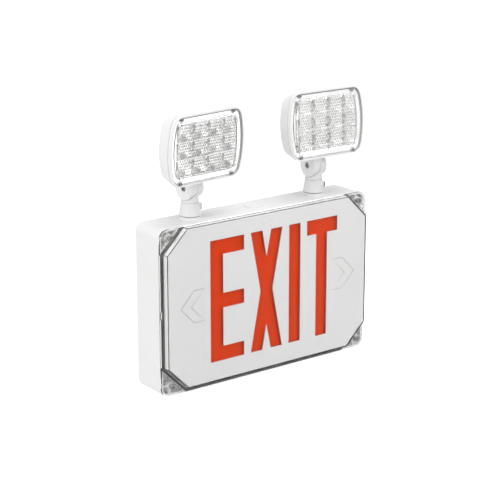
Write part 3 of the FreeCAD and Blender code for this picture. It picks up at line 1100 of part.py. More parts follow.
def make_lamp_body():
    """The moulded lamp housing: bowed front lip, tapering shell with round back edges, and the tilt lug."""
    lip_back = LAMP_FRONT - LAMP_LIP_DEPTH
    shell_front = lip_back - LAMP_GROOVE_WIDTH
    shell = lamp_taper(0, 0, LAMP_BACK, shell_front)
    rear_edges = [e for e in shell.Edges if e.BoundBox.YMin > -LAMP_BACK - 0.01]
    shell = shell.makeFillet(LAMP_BACK_EDGE, rear_edges)
    lug = cone(HEAD_LUG_OUTER_RADIUS, HEAD_LUG_INNER_RADIUS,
               Vector(-HEAD_LUG_OUTER, 0, 0), Vector(HEAD_LUG_INNER, 0, 0))
    lug_edge = [e for e in lug.Edges if len(e.Vertexes) == 1]
    lug = lug.makeFillet(LUG_GAP * 2, lug_edge)
    foot = LAMP_RISE - LAMP_REAR_HALF_HEIGHT
    web_profile = [(LUG_RIB_HALF, 0), (LUG_RIB_HALF, LUG_RIB_BACK_RISE), (-LAMP_BACK, LUG_RIB_HEIGHT),
                   (-LAMP_BACK - LAMP_BACK_EDGE, LUG_RIB_HEIGHT), (-LUG_RIB_FRONT_REACH, foot),
                   (-LUG_RIB_HALF, 0), (LUG_RIB_HALF, 0)]
    web = Part.Face(Part.makePolygon([Vector(-HEAD_LUG_OUTER, y, z) for y, z in web_profile]))
    web = web.extrude(Vector(HEAD_LUG_OUTER + HEAD_LUG_INNER, 0, 0))
    groove = lamp_plate(LAMP_GROOVE_DEPTH, shell_front, lip_back)
    lip = lamp_plate(0, lip_back, LAMP_FRONT)
    body = shell.multiFuse([lug, web, groove, lip])

    hollow = lamp_taper(LAMP_WALL_FRONT, LAMP_WALL, LAMP_BACK + LAMP_WALL, shell_front)
    hollow_edges = [e for e in hollow.Edges if e.BoundBox.YMin > -LAMP_BACK - LAMP_WALL - 0.01]
    hollow = hollow.makeFillet(LAMP_BACK_EDGE - LAMP_WALL, hollow_edges)
    throat = lamp_plate(LAMP_WALL_FRONT, shell_front - 1, LENS_SEAT + 1)
    recess = lamp_plate(LIP_WIDTH, LENS_SEAT, LAMP_FRONT + 1)
    body = body.cut(hollow.multiFuse([throat, recess]))

    boss_back = LENS_SEAT - 3 * LENS_SCREW_LENGTH / 2
    bosses = [rod(LENS_BOSS_RADIUS, Vector(x, -boss_back, z), Vector(x, -LENS_SEAT, z))
              for x, z in LENS_SCREW_PLACES]
    bosses += [rod(LED_POST_RADIUS, Vector(x, -LAMP_BACK - LAMP_WALL / 2, z), Vector(x, -LED_BOARD_BACK, z))
               for x, z in LED_POST_PLACES]
    inside = lamp_plate(LAMP_WALL_FRONT / 2, LAMP_BACK + LAMP_WALL / 2, LENS_SEAT)
    outer = lamp_taper(LAMP_WALL_FRONT / 2, LAMP_WALL / 2, LAMP_BACK + LAMP_WALL / 2, shell_front)
    outer = outer.fuse(lamp_plate(LAMP_WALL_FRONT / 2, shell_front, LENS_SEAT))
    body = body.multiFuse([b.common(outer).common(inside) for b in bosses])
    holes = [rod(LENS_SCREW_RADIUS, Vector(x, -LENS_FRONT + LENS_SCREW_LENGTH, z), Vector(x, -LAMP_FRONT, z))
             for x, z in LENS_SCREW_PLACES]
    holes.append(rod(TILT_SCREW_RADIUS + TILT_SCREW_FREE, Vector(-HEAD_LUG_OUTER - 1, 0, 0),
                     Vector(HEAD_LUG_INNER + 1, 0, 0)))
    holes.append(rod(TILT_SCREW_HEAD_RADIUS + SCREW_FREE, Vector(-HEAD_LUG_OUTER - 1, 0, 0),
                     Vector(-HEAD_LUG_OUTER + TILT_SCREW_HEAD_SINK, 0, 0)))
    return body.cut(Part.makeCompound(holes)).removeSplitter()


def make_lens_gasket():
    """The thin seal between the lens and the lamp housing."""
    outer_inset = LIP_WIDTH + LENS_FREE
    ring = lamp_plate(outer_inset, LENS_SEAT, LENS_BACK)
    holes = [rod(LENS_SCREW_RADIUS + LENS_FREE, Vector(x, 0, z), Vector(x, -2 * LENS_FRONT, z))
             for x, z in LENS_SCREW_PLACES]
    middle = lamp_plate(outer_inset + LENS_GASKET_WIDTH, LENS_SEAT - 1, LENS_BACK + 1)
    return ring.cut(Part.makeCompound([middle] + holes))


def make_lens():
    """The clear lens: a flat flange with a screw hole at each corner and a hollow raised panel."""
    flange = lamp_plate(LIP_WIDTH + LENS_FREE, LENS_BACK, LENS_FRONT)
    panel = lamp_plate(LENS_PANEL_MARGIN, LENS_BACK, LENS_FRONT + LENS_PANEL_RISE)
    front_edges = [e for e in panel.Edges if e.BoundBox.YMax < -LENS_FRONT - LENS_PANEL_RISE + 0.01]
    panel = panel.makeFillet(LENS_PANEL_EDGE, front_edges)
    panel_back = LENS_FRONT + LENS_PANEL_RISE - LENS_THICK
    hollow = lamp_plate(LENS_PANEL_MARGIN + LENS_THICK, LENS_BACK - 1, panel_back)
    holes = [rod(LENS_SCREW_RADIUS, Vector(x, 0, z), Vector(x, -2 * LENS_FRONT, z))
             for x, z in LENS_SCREW_PLACES]
    return flange.fuse(panel).cut(Part.makeCompound([hollow] + holes)).removeSplitter()


def make_lens_screws():
    """Four small screws that hold the lens."""
    return [pan_screw(Vector(x, -LENS_FRONT + LENS_SCREW_LENGTH, z), (0, -1, 0), LENS_SCREW_RADIUS,
                      LENS_SCREW_LENGTH, LENS_SCREW_HEAD_RADIUS, LENS_SCREW_HEAD_THICK)
            for x, z in LENS_SCREW_PLACES]


def frustum(x, z, front, front_half, back, back_half):
    """A four-sided taper about (x, z) between two distances from the tilt axis, from its half sizes."""
    wires = []
    for reach, (half_w, half_h) in ((front, front_half), (back, back_half)):
        corners = [Vector(x + sx * half_w, -reach, z + sz * half_h)
                   for sx, sz in ((-1, -1), (1, -1), (1, 1), (-1, 1))]
        wires.append(Part.makePolygon(corners + corners[:1]))
    return Part.makeLoft(wires, True, True)


def make_reflector():
    """The bright reflector: one skin with a four-sided cell for each lamp and a thin ridge between cells."""
    skin = lamp_plate(LAMP_WALL_FRONT + REFLECTOR_FREE, REFLECTOR_FRONT - REFLECTOR_SKIN, REFLECTOR_FRONT)
    mouth = ((CELL_PITCH_X - CELL_RIDGE) / 2, (CELL_PITCH_Z - CELL_RIDGE) / 2)
    waist = (mouth[0] * CELL_WAIST, mouth[1] * CELL_WAIST)
    throat = (CELL_THROAT / 2, CELL_THROAT / 2)
    middle = (REFLECTOR_FRONT + REFLECTOR_BACK) / 2
    cells = []
    hollows = []
    for x, z in CELL_PLACES:
        for front, wide, back, narrow in ((REFLECTOR_FRONT, mouth, middle, waist),
                                          (middle, waist, REFLECTOR_BACK, throat)):
            hollows.append(frustum(x, z, front, wide, back, narrow))
            outer_wide = (wide[0] + CELL_WALL, wide[1] + CELL_WALL)
            outer_narrow = (narrow[0] + CELL_WALL, narrow[1] + CELL_WALL)
            cells.append(frustum(x, z, front, outer_wide, back, outer_narrow))
    relief = [rod(LENS_BOSS_RADIUS + REFLECTOR_FREE, Vector(x, 0, z), Vector(x, -LAMP_FRONT, z))
              for x, z in LENS_SCREW_PLACES]
    hollow = hollows[0].multiFuse(hollows[1:])
    return skin.multiFuse(cells).cut(hollow).cut(Part.makeCompound(relief)).removeSplitter()


def make_led_board():
    """The lamp array's board, with one square lamp and its small dome under each reflector cup."""
    board = box(-LED_BOARD_HALF_WIDTH, LED_BOARD_HALF_WIDTH, -LED_BOARD_FRONT, -LED_BOARD_BACK,
                LAMP_RISE - LED_BOARD_HALF_HEIGHT, LAMP_RISE + LED_BOARD_HALF_HEIGHT)
    half = LED_SIZE / 2
    lamp_front = LED_BOARD_FRONT + LED_HEIGHT
    lamps = []
    for x, z in CELL_PLACES:
        lamps.append(box(x - half, x + half, -LED_BOARD_FRONT, -lamp_front, z - half, z + half))
        lamps.append(cone(LED_DOME_RADIUS, LED_DOME_RADIUS / 2, Vector(x, -lamp_front, z),
                          Vector(x, -lamp_front - LED_DOME_RADIUS / 2, z)))
    return board.multiFuse(lamps).removeSplitter()


# ---------------------------------------------------------------- putting it together
def place_on_boss(shape, side):
    """Move a piece drawn about the boss's middle to the left (-1) or right (1) head."""
    shape.translate(Vector(side * HEAD_SPACING / 2, HEAD_Y, 0))
    return shape


def place_on_axis(shape, side, pan, tilt):
    """Turn a piece drawn about the tilt axis: tilt it down, pan it, then lift it to its head's place."""
    shape.rotate(Vector(0, 0, 0), Vector(1, 0, 0), tilt)
    shape.rotate(Vector(0, 0, 0), Vector(0, 0, 1), pan)
    shape.translate(Vector(side * HEAD_SPACING / 2, HEAD_Y, TILT_AXIS_Z))
    return shape


save("rear_housing", make_housing())
save("cover_gasket", make_cover_gasket())
save("clear_cover", make_cover())
save("cover_screws", make_cover_screws())
save("stencil_face", make_stencil_face())
save("red_panel", make_red_panel())
save("light_tray", make_light_tray())
save("lamp_strips", make_lamp_strips())
save("wire_grommet", make_grommet())
save("conduit_plug", make_conduit_plug())
save("battery_pack", make_battery())
save("battery_strap", make_strap())
save("charger_board", make_board())
save("board_parts", make_board_parts())
save("transformer", make_transformer())
save("terminal_block", make_terminal_block())
save("inner_screws", make_inner_screws())
save("test_switch", make_test_switch())
save("switch_nut", make_switch_nut())
save("test_button", make_test_button())
save("button_spring", make_button_spring())
save("pilot_light", make_pilot_light())

HEADS = (("left", -1, LEFT_PAN, LEFT_TILT, LEFT_SET_SCREW_ANGLE),
         ("right", 1, RIGHT_PAN, RIGHT_TILT, RIGHT_SET_SCREW_ANGLE))
for name, side, pan, tilt, angle in HEADS:
    save(name + "_collar", place_on_boss(make_collar(angle), side))
    save(name + "_collar_gasket", place_on_boss(make_collar_gasket(), side))
    save(name + "_collar_nut", place_on_boss(make_collar_nut(), side))
    save(name + "_set_screw", place_on_boss(make_set_screw(angle), side))
    save(name + "_knuckle", place_on_axis(make_knuckle(), side, pan, 0))
    save(name + "_tilt_screw", place_on_axis(make_tilt_screw(), side, pan, 0))
    save(name + "_tilt_nut", place_on_axis(make_tilt_nut(), side, pan, 0))
    save(name + "_lamp_body", place_on_axis(make_lamp_body(), side, pan, tilt))
    save(name + "_lens_gasket", place_on_axis(make_lens_gasket(), side, pan, tilt))
    save(name + "_lens", place_on_axis(make_lens(), side, pan, tilt))
    save(name + "_lens_screws", [place_on_axis(s, side, pan, tilt) for s in make_lens_screws()])
    save(name + "_reflector", place_on_axis(make_reflector(), side, pan, tilt))
    save(name + "_led_board", place_on_axis(make_led_board(), side, pan, tilt))
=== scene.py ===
import math

import bmesh
import bpy
from mathutils import Matrix, Vector


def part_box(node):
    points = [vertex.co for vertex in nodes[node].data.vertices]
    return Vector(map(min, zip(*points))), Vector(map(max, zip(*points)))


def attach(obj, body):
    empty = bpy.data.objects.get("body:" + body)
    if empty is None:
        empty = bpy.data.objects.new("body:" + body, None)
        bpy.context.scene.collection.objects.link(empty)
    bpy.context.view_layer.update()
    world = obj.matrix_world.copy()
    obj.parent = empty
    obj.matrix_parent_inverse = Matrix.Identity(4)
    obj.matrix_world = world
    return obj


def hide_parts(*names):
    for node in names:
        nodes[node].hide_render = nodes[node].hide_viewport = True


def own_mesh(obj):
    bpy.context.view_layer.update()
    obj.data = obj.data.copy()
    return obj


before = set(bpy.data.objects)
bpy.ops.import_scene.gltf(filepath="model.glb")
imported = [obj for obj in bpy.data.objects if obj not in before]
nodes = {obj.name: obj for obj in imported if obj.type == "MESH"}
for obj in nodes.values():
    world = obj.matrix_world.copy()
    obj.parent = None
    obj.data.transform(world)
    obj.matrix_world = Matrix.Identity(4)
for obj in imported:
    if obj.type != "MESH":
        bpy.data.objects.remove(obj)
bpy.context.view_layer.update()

# ------------------------------------------------------------------ camera, light, floor
# The sign hangs at eye height in a white room: a camera to its left and a little above,
# soft light from the left, from above and from the front, and a pale floor well below it.
camera = bpy.data.objects.new("camera", bpy.data.cameras.new("camera"))
camera.data.lens = 120.28
camera.data.sensor_width = 36.0
camera.location = (-1.19457, -1.59222, 0.62657)
camera.rotation_euler = (math.pi / 2 - 0.28617, 0.0, -0.64905)
bpy.context.collection.objects.link(camera)
bpy.context.scene.camera = camera


LIGHT_AIM = Vector((0, 0, 0.05))


def add_softbox(name, place, size, power):
    """A rectangular lamp that faces the middle of the sign."""
    lamp = bpy.data.lights.new(name, "AREA")
    lamp.shape = "RECTANGLE"
    lamp.size, lamp.size_y = size
    lamp.energy = power
    softbox = bpy.data.objects.new(name, lamp)
    softbox.location = place
    softbox.rotation_euler = (LIGHT_AIM - Vector(place)).to_track_quat("-Z", "Y").to_euler()
    bpy.context.collection.objects.link(softbox)


add_softbox("left_softbox", (-2.2, -0.5, 0.9), (1.6, 1.6), 25)
add_softbox("front_softbox", (1.7, -2.2, 1.3), (1.2, 1.0), 24)
add_softbox("top_softbox", (0.1, -0.5, 2.2), (1.8, 1.4), 22.5)

world = bpy.data.worlds.new("white_room")
bpy.context.scene.world = world
world.use_nodes = True
sky = world.node_tree
sky.nodes.clear()


def link(tree, source, target):
    tree.links.new(source, target)


def seen_directly(tree, *kinds):
    """1 for what the camera sees, straight or by the given kinds of ray, and 0 for light."""
    path = tree.nodes.new("ShaderNodeLightPath")
    seen = path.outputs["Is Camera Ray"]
    for kind in kinds:
        either = tree.nodes.new("ShaderNodeMath")
        either.operation = "MAXIMUM"
        link(tree, seen, either.inputs[0])
        link(tree, path.outputs[kind], either.inputs[1])
        seen = either.outputs[0]
    scattered = tree.nodes.new("ShaderNodeMath")
    scattered.operation = "GREATER_THAN"
    scattered.inputs[1].default_value = 0.5
    link(tree, path.outputs["Diffuse Depth"], scattered.inputs[0])
    direct = tree.nodes.new("ShaderNodeMath")
    direct.operation = "SUBTRACT"
    direct.use_clamp = True
    link(tree, seen, direct.inputs[0])
    link(tree, scattered.outputs[0], direct.inputs[1])
    return direct.outputs[0]


room_light = sky.nodes.new("ShaderNodeBackground")
room_light.inputs["Color"].default_value = (1.0, 1.0, 1.0, 1.0)
room_light.inputs["Strength"].default_value = 0.42
room_seen = sky.nodes.new("ShaderNodeBackground")
room_seen.inputs["Color"].default_value = (1.0, 1.0, 1.0, 1.0)
room_seen.inputs["Strength"].default_value = 1.0
room_mix = sky.nodes.new("ShaderNodeMixShader")
room_out = sky.nodes.new("ShaderNodeOutputWorld")
link(sky, seen_directly(sky, "Is Glossy Ray", "Is Transmission Ray"), room_mix.inputs["Fac"])
link(sky, room_light.outputs[0], room_mix.inputs[1])
link(sky, room_seen.outputs[0], room_mix.inputs[2])
link(sky, room_mix.outputs[0], room_out.inputs["Surface"])

FLOOR_REACH = 6.0
FLOOR_LEVEL = -0.5
floor_mesh = bpy.data.meshes.new("floor")
floor_corners = [(x * FLOOR_REACH, y * FLOOR_REACH, FLOOR_LEVEL)
                 for x, y in ((-1, -1), (1, -1), (1, 1), (-1, 1))]
floor_mesh.from_pydata(floor_corners, [], [(0, 1, 2, 3)])
floor = bpy.data.objects.new("floor", floor_mesh)
bpy.context.collection.objects.link(floor)
floor_finish = bpy.data.materials.new("floor_white")
floor_finish.use_nodes = True
floor_tree = floor_finish.node_tree
floor_paint = floor_tree.nodes["Principled BSDF"]
floor_paint.inputs["Base Color"].default_value = (0.86, 0.86, 0.86, 1.0)
floor_paint.inputs["Roughness"].default_value = 0.9
floor_lift = floor_tree.nodes.new("ShaderNodeEmission")
floor_lift.inputs["Strength"].default_value = 0.9
floor_glow = floor_tree.nodes.new("ShaderNodeMixShader")
floor_sum = floor_tree.nodes.new("ShaderNodeAddShader")
link(floor_tree, seen_directly(floor_tree, "Is Transmission Ray"), floor_glow.inputs["Fac"])
link(floor_tree, floor_lift.outputs[0], floor_glow.inputs[2])
link(floor_tree, floor_paint.outputs[0], floor_sum.inputs[0])
link(floor_tree, floor_glow.outputs[0], floor_sum.inputs[1])
link(floor_tree, floor_sum.outputs[0], floor_tree.nodes["Material Output"].inputs["Surface"])
floor_mesh.materials.append(floor_finish)


# ------------------------------------------------------------------ rear housing
# Injection-moulded shell in white plastic with a very fine spark texture.
# It is screwed to the wall box through its back.
def new_finish(name):
    """An empty material with its shader and a set of coordinates fixed to the object."""
    finish = bpy.data.materials.new(name)
    finish.use_nodes = True
    tree = finish.node_tree
    place = tree.nodes.new("ShaderNodeTexCoord").outputs["Object"]
    return finish, tree, tree.nodes["Principled BSDF"], place


def grain(tree, place, scale, detail=3.0, roughness=0.5):
    """A cloudy pattern of 0 to 1 in the object's own space."""
    noise = tree.nodes.new("ShaderNodeTexNoise")
    noise.inputs["Scale"].default_value = scale
    noise.inputs["Detail"].default_value = detail
    noise.inputs["Roughness"].default_value = roughness
    link(tree, place, noise.inputs["Vector"])
    return noise.outputs["Fac"]


def spread(tree, value, low, high):
    """Stretch a 0 to 1 pattern over a range of values."""
    node = tree.nodes.new("ShaderNodeMapRange")
    node.inputs["From Min"].default_value = 0.3
    node.inputs["From Max"].default_value = 0.7
    node.inputs["To Min"].default_value = low
    node.inputs["To Max"].default_value = high
    link(tree, value, node.inputs["Value"])
    return node.outputs["Result"]


def tint(tree, value, low, high):
    """A colour between two, driven by a pattern."""
    mix = tree.nodes.new("ShaderNodeMix")
    mix.data_type = "RGBA"
    mix.inputs["A"].default_value = (*low, 1.0)
    mix.inputs["B"].default_value = (*high, 1.0)
    link(tree, value, mix.inputs["Factor"])
    return mix.outputs["Result"]


def raise_surface(tree, shader, value, strength, depth):
    """Turn a pattern into a fine relief of the given depth in metres."""
    bump = tree.nodes.new("ShaderNodeBump")
    bump.inputs["Strength"].default_value = strength
    bump.inputs["Distance"].default_value = depth
    link(tree, value, bump.inputs["Height"])
    link(tree, bump.outputs["Normal"], shader.inputs["Normal"])


def moulded_plastic(name, colour, shift, roughness, texture_scale=1500.0, depth=0.00004, sheen=0.5):
    """Moulded plastic: slightly uneven colour and gloss, and a fine texture from the mould."""
    finish, tree, shader, place = new_finish(name)
    cloud = grain(tree, place, 22.0)
    darker = tuple(c * (1 - shift) for c in colour)
    link(tree, tint(tree, spread(tree, cloud, 0.0, 1.0), darker, colour), shader.inputs["Base Color"])
    link(tree, spread(tree, grain(tree, place, 60.0), roughness - 0.04, roughness + 0.05),
         shader.inputs["Roughness"])
    raise_surface(tree, shader, grain(tree, place, texture_scale, 2.0), 0.35, depth)
    shader.inputs["IOR"].default_value = 1.49
    shader.inputs["Specular IOR Level"].default_value = sheen
    return finish


def finish_node(finish, *names):
    """Give CAD nodes their finish."""
    for name in names:
        for place in nodes[name].material_slots:
            place.material = finish


housing_white = moulded_plastic("housing_white", (0.90, 0.90, 0.895), 0.02, 0.42)
finish_node(housing_white, "rear_housing")

# ------------------------------------------------------------------ wire grommet and conduit plug
# A black rubber bush lines the wire entry in the back; a white threaded plug closes the
# conduit entry in the top wall.
rubber_black = moulded_plastic("rubber_black", (0.035, 0.035, 0.034), 0.25, 0.75, 800.0, 0.00008)
finish_node(rubber_black, "wire_grommet")
finish_node(housing_white, "conduit_plug")


# ------------------------------------------------------------------ battery and its strap
# Five nickel cells in a blue shrink sleeve, held to the back wall by a folded steel strap.
def rolled_steel(name, colour, roughness, scratch=(900.0, 900.0, 30.0)):
    """Bright steel with fine drawn lines along one direction."""
    finish, tree, shader, place = new_finish(name)
    stretch = tree.nodes.new("ShaderNodeMapping")
    stretch.inputs["Scale"].default_value = scratch
    link(tree, place, stretch.inputs["Vector"])
    lines = grain(tree, stretch.outputs["Vector"], 1.0, 4.0, 0.6)
    darker = tuple(c * 0.8 for c in colour)
    link(tree, tint(tree, spread(tree, lines, 0.0, 1.0), darker, colour), shader.inputs["Base Color"])
    link(tree, spread(tree, lines, roughness - 0.06, roughness + 0.08), shader.inputs["Roughness"])
    raise_surface(tree, shader, lines, 0.2, 0.00003)
    shader.inputs["Metallic"].default_value = 1.0
    return finish


battery_sleeve = moulded_plastic("battery_sleeve", (0.05, 0.13, 0.40), 0.15, 0.28, 300.0, 0.00005)
strap_steel = rolled_steel("strap_steel", (0.62, 0.62, 0.63), 0.34)
finish_node(battery_sleeve, "battery_pack")
finish_node(strap_steel, "battery_strap")


# ------------------------------------------------------------------ charger board, transformer, terminals
# A green glass-epoxy board with its black parts, a varnished laminated transformer and a
# pale terminal strip, all screwed to posts in the housing.
def printed_board(name, mask, track):
    """Solder mask over copper tracks: straight bands that show through slightly."""
    finish, tree, shader, place = new_finish(name)
    bands = tree.nodes.new("ShaderNodeTexWave")
    bands.wave_type = "BANDS"
    bands.bands_direction = "DIAGONAL"
    bands.inputs["Scale"].default_value = 90.0
    bands.inputs["Distortion"].default_value = 6.0
    bands.inputs["Detail"].default_value = 1.0
    link(tree, place, bands.inputs["Vector"])
    shade = spread(tree, bands.outputs["Fac"], 0.0, 1.0)
    link(tree, tint(tree, shade, mask, track), shader.inputs["Base Color"])
    link(tree, spread(tree, grain(tree, place, 120.0), 0.25, 0.4), shader.inputs["Roughness"])
    raise_surface(tree, shader, bands.outputs["Fac"], 0.2, 0.00004)
    return finish


board_green = printed_board("board_green", (0.012, 0.11, 0.04), (0.03, 0.2, 0.08))
board_white = printed_board("board_white", (0.74, 0.74, 0.72), (0.80, 0.80, 0.78))
black_moulding = moulded_plastic("black_moulding", (0.03, 0.03, 0.032), 0.2, 0.4)
core_varnish = rolled_steel("core_varnish", (0.16, 0.16, 0.17), 0.5, (60.0, 3000.0, 60.0))
terminal_grey = moulded_plastic("terminal_grey", (0.62, 0.62, 0.58), 0.05, 0.45)
TURNED = (500.0, 500.0, 500.0)
screw_steel = rolled_steel("screw_steel", (0.58, 0.58, 0.58), 0.28, TURNED)
finish_node(board_green, "charger_board")
finish_node(black_moulding, "board_parts")
finish_node(core_varnish, "transformer")
finish_node(terminal_grey, "terminal_block")
finish_node(screw_steel, "inner_screws")


def merged_copy(node, name):
    """A copy of a frame piece with its loose triangles joined."""
    mesh = nodes[node].data.copy()
    mesh.name = name
    form = bmesh.new()
    form.from_mesh(mesh)
    bmesh.ops.remove_doubles(form, verts=form.verts, dist=0.000002)
    form.to_mesh(mesh)
    form.free()
    piece = bpy.data.objects.new(name, mesh)
    bpy.context.collection.objects.link(piece)
    return piece


def repaint(piece, *finishes):
    """Give a piece these finishes and no others."""
    piece.data.materials.clear()
    for finish in finishes:
        piece.data.materials.append(finish)


pilot_amber = moulded_plastic("pilot_amber", (0.80, 0.30, 0.02), 0.1, 0.15)
finish_node(black_moulding, "test_switch", "test_button")
finish_node(screw_steel, "switch_nut")
coil_spring = merged_copy("button_spring", "coil_spring")
repaint(coil_spring, screw_steel)
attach(coil_spring, "housing")
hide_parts("button_spring")
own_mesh(coil_spring)
finish_node(pilot_amber, "pilot_light")

# ------------------------------------------------------------------ light tray, lamp strips and red panel
# A white tray with a strip of small lamps along its top and bottom, closed at the front by
# the red sheet that gives the legend its colour.
tray_white = moulded_plastic("tray_white", (0.88, 0.88, 0.87), 0.02, 0.5)
red_sheet = moulded_plastic("red_sheet", (0.79, 0.05, 0.0035), 0.05, 0.38, 900.0, 0.00002, 0.0)
finish_node(tray_white, "light_tray")
finish_node(board_white, "lamp_strips")
finish_node(red_sheet, "red_panel")

# ------------------------------------------------------------------ sign face
# A white face plate with the legend cut right through it, so that the red sheet behind shows,
# and two scored chevrons. It hangs inside the clear cover on its turned-back skirt.
GROOVE_SHALLOW = 0.0003
GROOVE_DEEP = 0.0006
PUNCH_AHEAD = 0.002
PUNCH_THROUGH = 0.0035
LEGEND_BASE = -0.071085
LEGEND_TOP = LEGEND_BASE + 0.1524
BAR_LOW = LEGEND_BASE + 0.0181
BAR_HIGH = LEGEND_BASE + 0.1336
E_LEFT, E_STEM, E_RIGHT = -0.0903, -0.0712, -0.0401
E_ARM_LOW, E_ARM_HIGH = LEGEND_BASE + 0.0666, LEGEND_BASE + 0.0851
X_LEFT, X_INNER_LEFT, X_FORK, X_INNER_RIGHT, X_RIGHT = -0.0301, -0.0123, -0.0061, 0.0008, 0.0183
X_WAIST_LEFT, X_WAIST_RIGHT, X_WAIST = -0.0153, 0.0032, LEGEND_BASE + 0.0767
X_FORK_LOW, X_FORK_HIGH = LEGEND_BASE + 0.0317, LEGEND_BASE + 0.1193
I_LEFT, I_RIGHT = 0.0287, 0.0466
T_LEFT, T_STEM_LEFT, T_STEM_RIGHT, T_RIGHT = 0.0566, 0.0714, 0.0890, 0.1052
letter_e = [(E_LEFT, LEGEND_BASE), (E_RIGHT, LEGEND_BASE), (E_RIGHT, BAR_LOW), (E_STEM, BAR_LOW),
            (E_STEM, E_ARM_LOW), (E_RIGHT, E_ARM_LOW), (E_RIGHT, E_ARM_HIGH), (E_STEM, E_ARM_HIGH),
            (E_STEM, BAR_HIGH), (E_RIGHT, BAR_HIGH), (E_RIGHT, LEGEND_TOP), (E_LEFT, LEGEND_TOP)]
letter_x = [(X_LEFT, LEGEND_BASE), (X_INNER_LEFT, LEGEND_BASE), (X_FORK, X_FORK_LOW),
            (X_INNER_RIGHT, LEGEND_BASE), (X_RIGHT, LEGEND_BASE), (X_WAIST_RIGHT, X_WAIST),
            (X_RIGHT, LEGEND_TOP), (X_INNER_RIGHT, LEGEND_TOP), (X_FORK, X_FORK_HIGH),
            (X_INNER_LEFT, LEGEND_TOP), (X_LEFT, LEGEND_TOP), (X_WAIST_LEFT, X_WAIST)]
letter_i = [(I_LEFT, LEGEND_BASE), (I_RIGHT, LEGEND_BASE), (I_RIGHT, LEGEND_TOP), (I_LEFT, LEGEND_TOP)]
letter_t = [(T_STEM_LEFT, LEGEND_BASE), (T_STEM_RIGHT, LEGEND_BASE), (T_STEM_RIGHT, BAR_HIGH),
            (T_RIGHT, BAR_HIGH), (T_RIGHT, LEGEND_TOP), (T_LEFT, LEGEND_TOP), (T_LEFT, BAR_HIGH),
            (T_STEM_LEFT, BAR_HIGH)]


def baked_mesh(piece, name):
    """The piece's mesh with its modifiers applied."""
    view = bpy.context.evaluated_depsgraph_get()
    mesh = bpy.data.meshes.new_from_object(piece.evaluated_get(view), depsgraph=view)
    mesh.name = name
    return mesh


face_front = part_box("stencil_face")[0][1]
cutter_form = bmesh.new()
for outline in (letter_e, letter_x, letter_i, letter_t):
    front = [cutter_form.verts.new((x, face_front - PUNCH_AHEAD, z)) for x, z in outline]
    back = [cutter_form.verts.new((x, face_front + PUNCH_THROUGH, z)) for x, z in outline]
    cutter_form.faces.new(front)
    cutter_form.faces.new(back[::-1])
    for i in range(len(outline)):
        j = (i + 1) % len(outline)
        cutter_form.faces.new((front[j], front[i], back[i], back[j]))
bmesh.ops.recalc_face_normals(cutter_form, faces=cutter_form.faces)
cutter_mesh = bpy.data.meshes.new("legend_punch")
cutter_form.to_mesh(cutter_mesh)
cutter_form.free()
legend_punch = bpy.data.objects.new("legend_punch", cutter_mesh)
bpy.context.collection.objects.link(legend_punch)

sign_face = merged_copy("stencil_face", "sign_face")
punch = sign_face.modifiers.new("punch", "BOOLEAN")
punch.operation = "DIFFERENCE"
punch.solver = "EXACT"
punch.object = legend_punch
sign_face.data = baked_mesh(sign_face, "sign_face")
sign_face.modifiers.clear()
bpy.data.objects.remove(legend_punch)
face_paint = moulded_plastic("face_paint", (0.80, 0.80, 0.80), 0.015, 0.45, 1200.0, 0.00003)
# Faces lying 0.3 to 0.6 mm into the face, in the chevron grooves, get a darker grey: painted shade in the
# score lines.
painted_groove_shade = moulded_plastic("painted_groove_shade", (0.42, 0.42, 0.42), 0.05, 0.6)
repaint(sign_face, face_paint, painted_groove_shade)
for polygon in sign_face.data.polygons:
    polygon.material_index = int(GROOVE_SHALLOW < polygon.center.y - face_front < GROOVE_DEEP)
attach(sign_face, "housing")
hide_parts("stencil_face")

# ------------------------------------------------------------------ cover gasket
# A flat ring of dark closed-cell foam, squeezed between the housing's rim and the cover. It
# is drawn in by a hair, so that its faces do not lie in the clear cover's faces.
def eased_copy(node, name, body, finish, ease=0.00004):
    """A merged copy of a CAD solid, drawn in by a hair, in the solid's place."""
    piece = merged_copy(node, name)
    inward = [corner.normal * ease for corner in piece.data.vertices]
    for corner, shift in zip(piece.data.vertices, inward):
        corner.co -= shift
    repaint(piece, finish)
    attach(piece, body)
    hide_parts(node)


foam_dark = moulded_plastic("foam_dark", (0.15, 0.147, 0.142), 0.3, 0.85, 2500.0, 0.00012)
eased_copy("cover_gasket", "gasket_ring", "housing", foam_dark)


# ------------------------------------------------------------------ clear cover
# One clear polycarbonate moulding: flange, raised window and four corner pads with the
# screw seats. Lamps shine through it, so it casts next to no shadow.
def clear_plastic(name, colour, roughness, passes, mirror=0.05, ior=1.585):
    """Clear plastic: bends and mirrors what the eye sees, and lets lamps through."""
    finish, tree, shader, place = new_finish(name)
    shader.inputs["Base Color"].default_value = (*colour, 1.0)
    shader.inputs["Transmission Weight"].default_value = 1.0
    shader.inputs["Specular Tint"].default_value = (mirror, mirror, mirror, 1.0)
    shader.inputs["IOR"].default_value = ior
    link(tree, spread(tree, grain(tree, place, 40.0), max(roughness - 0.01, 0.0), roughness + 0.02),
         shader.inputs["Roughness"])
    path = tree.nodes.new("ShaderNodeLightPath")
    window = tree.nodes.new("ShaderNodeBsdfTransparent")
    window.inputs["Color"].default_value = (passes, passes, passes, 1.0)
    choose = tree.nodes.new("ShaderNodeMixShader")
    link(tree, path.outputs["Is Shadow Ray"], choose.inputs["Fac"])
    link(tree, shader.outputs[0], choose.inputs[1])
    link(tree, window.outputs[0], choose.inputs[2])
    link(tree, choose.outputs[0], tree.nodes["Material Output"].inputs["Surface"])
    return finish


cover_clear = clear_plastic("cover_clear", (0.96, 0.956, 0.955), 0.01, 0.97, 0.0)
finish_node(cover_clear, "clear_cover")
cover_screw_steel = rolled_steel("cover_screw_steel", (0.34, 0.34, 0.34), 0.3, TURNED)
finish_node(cover_screw_steel, "cover_screws")

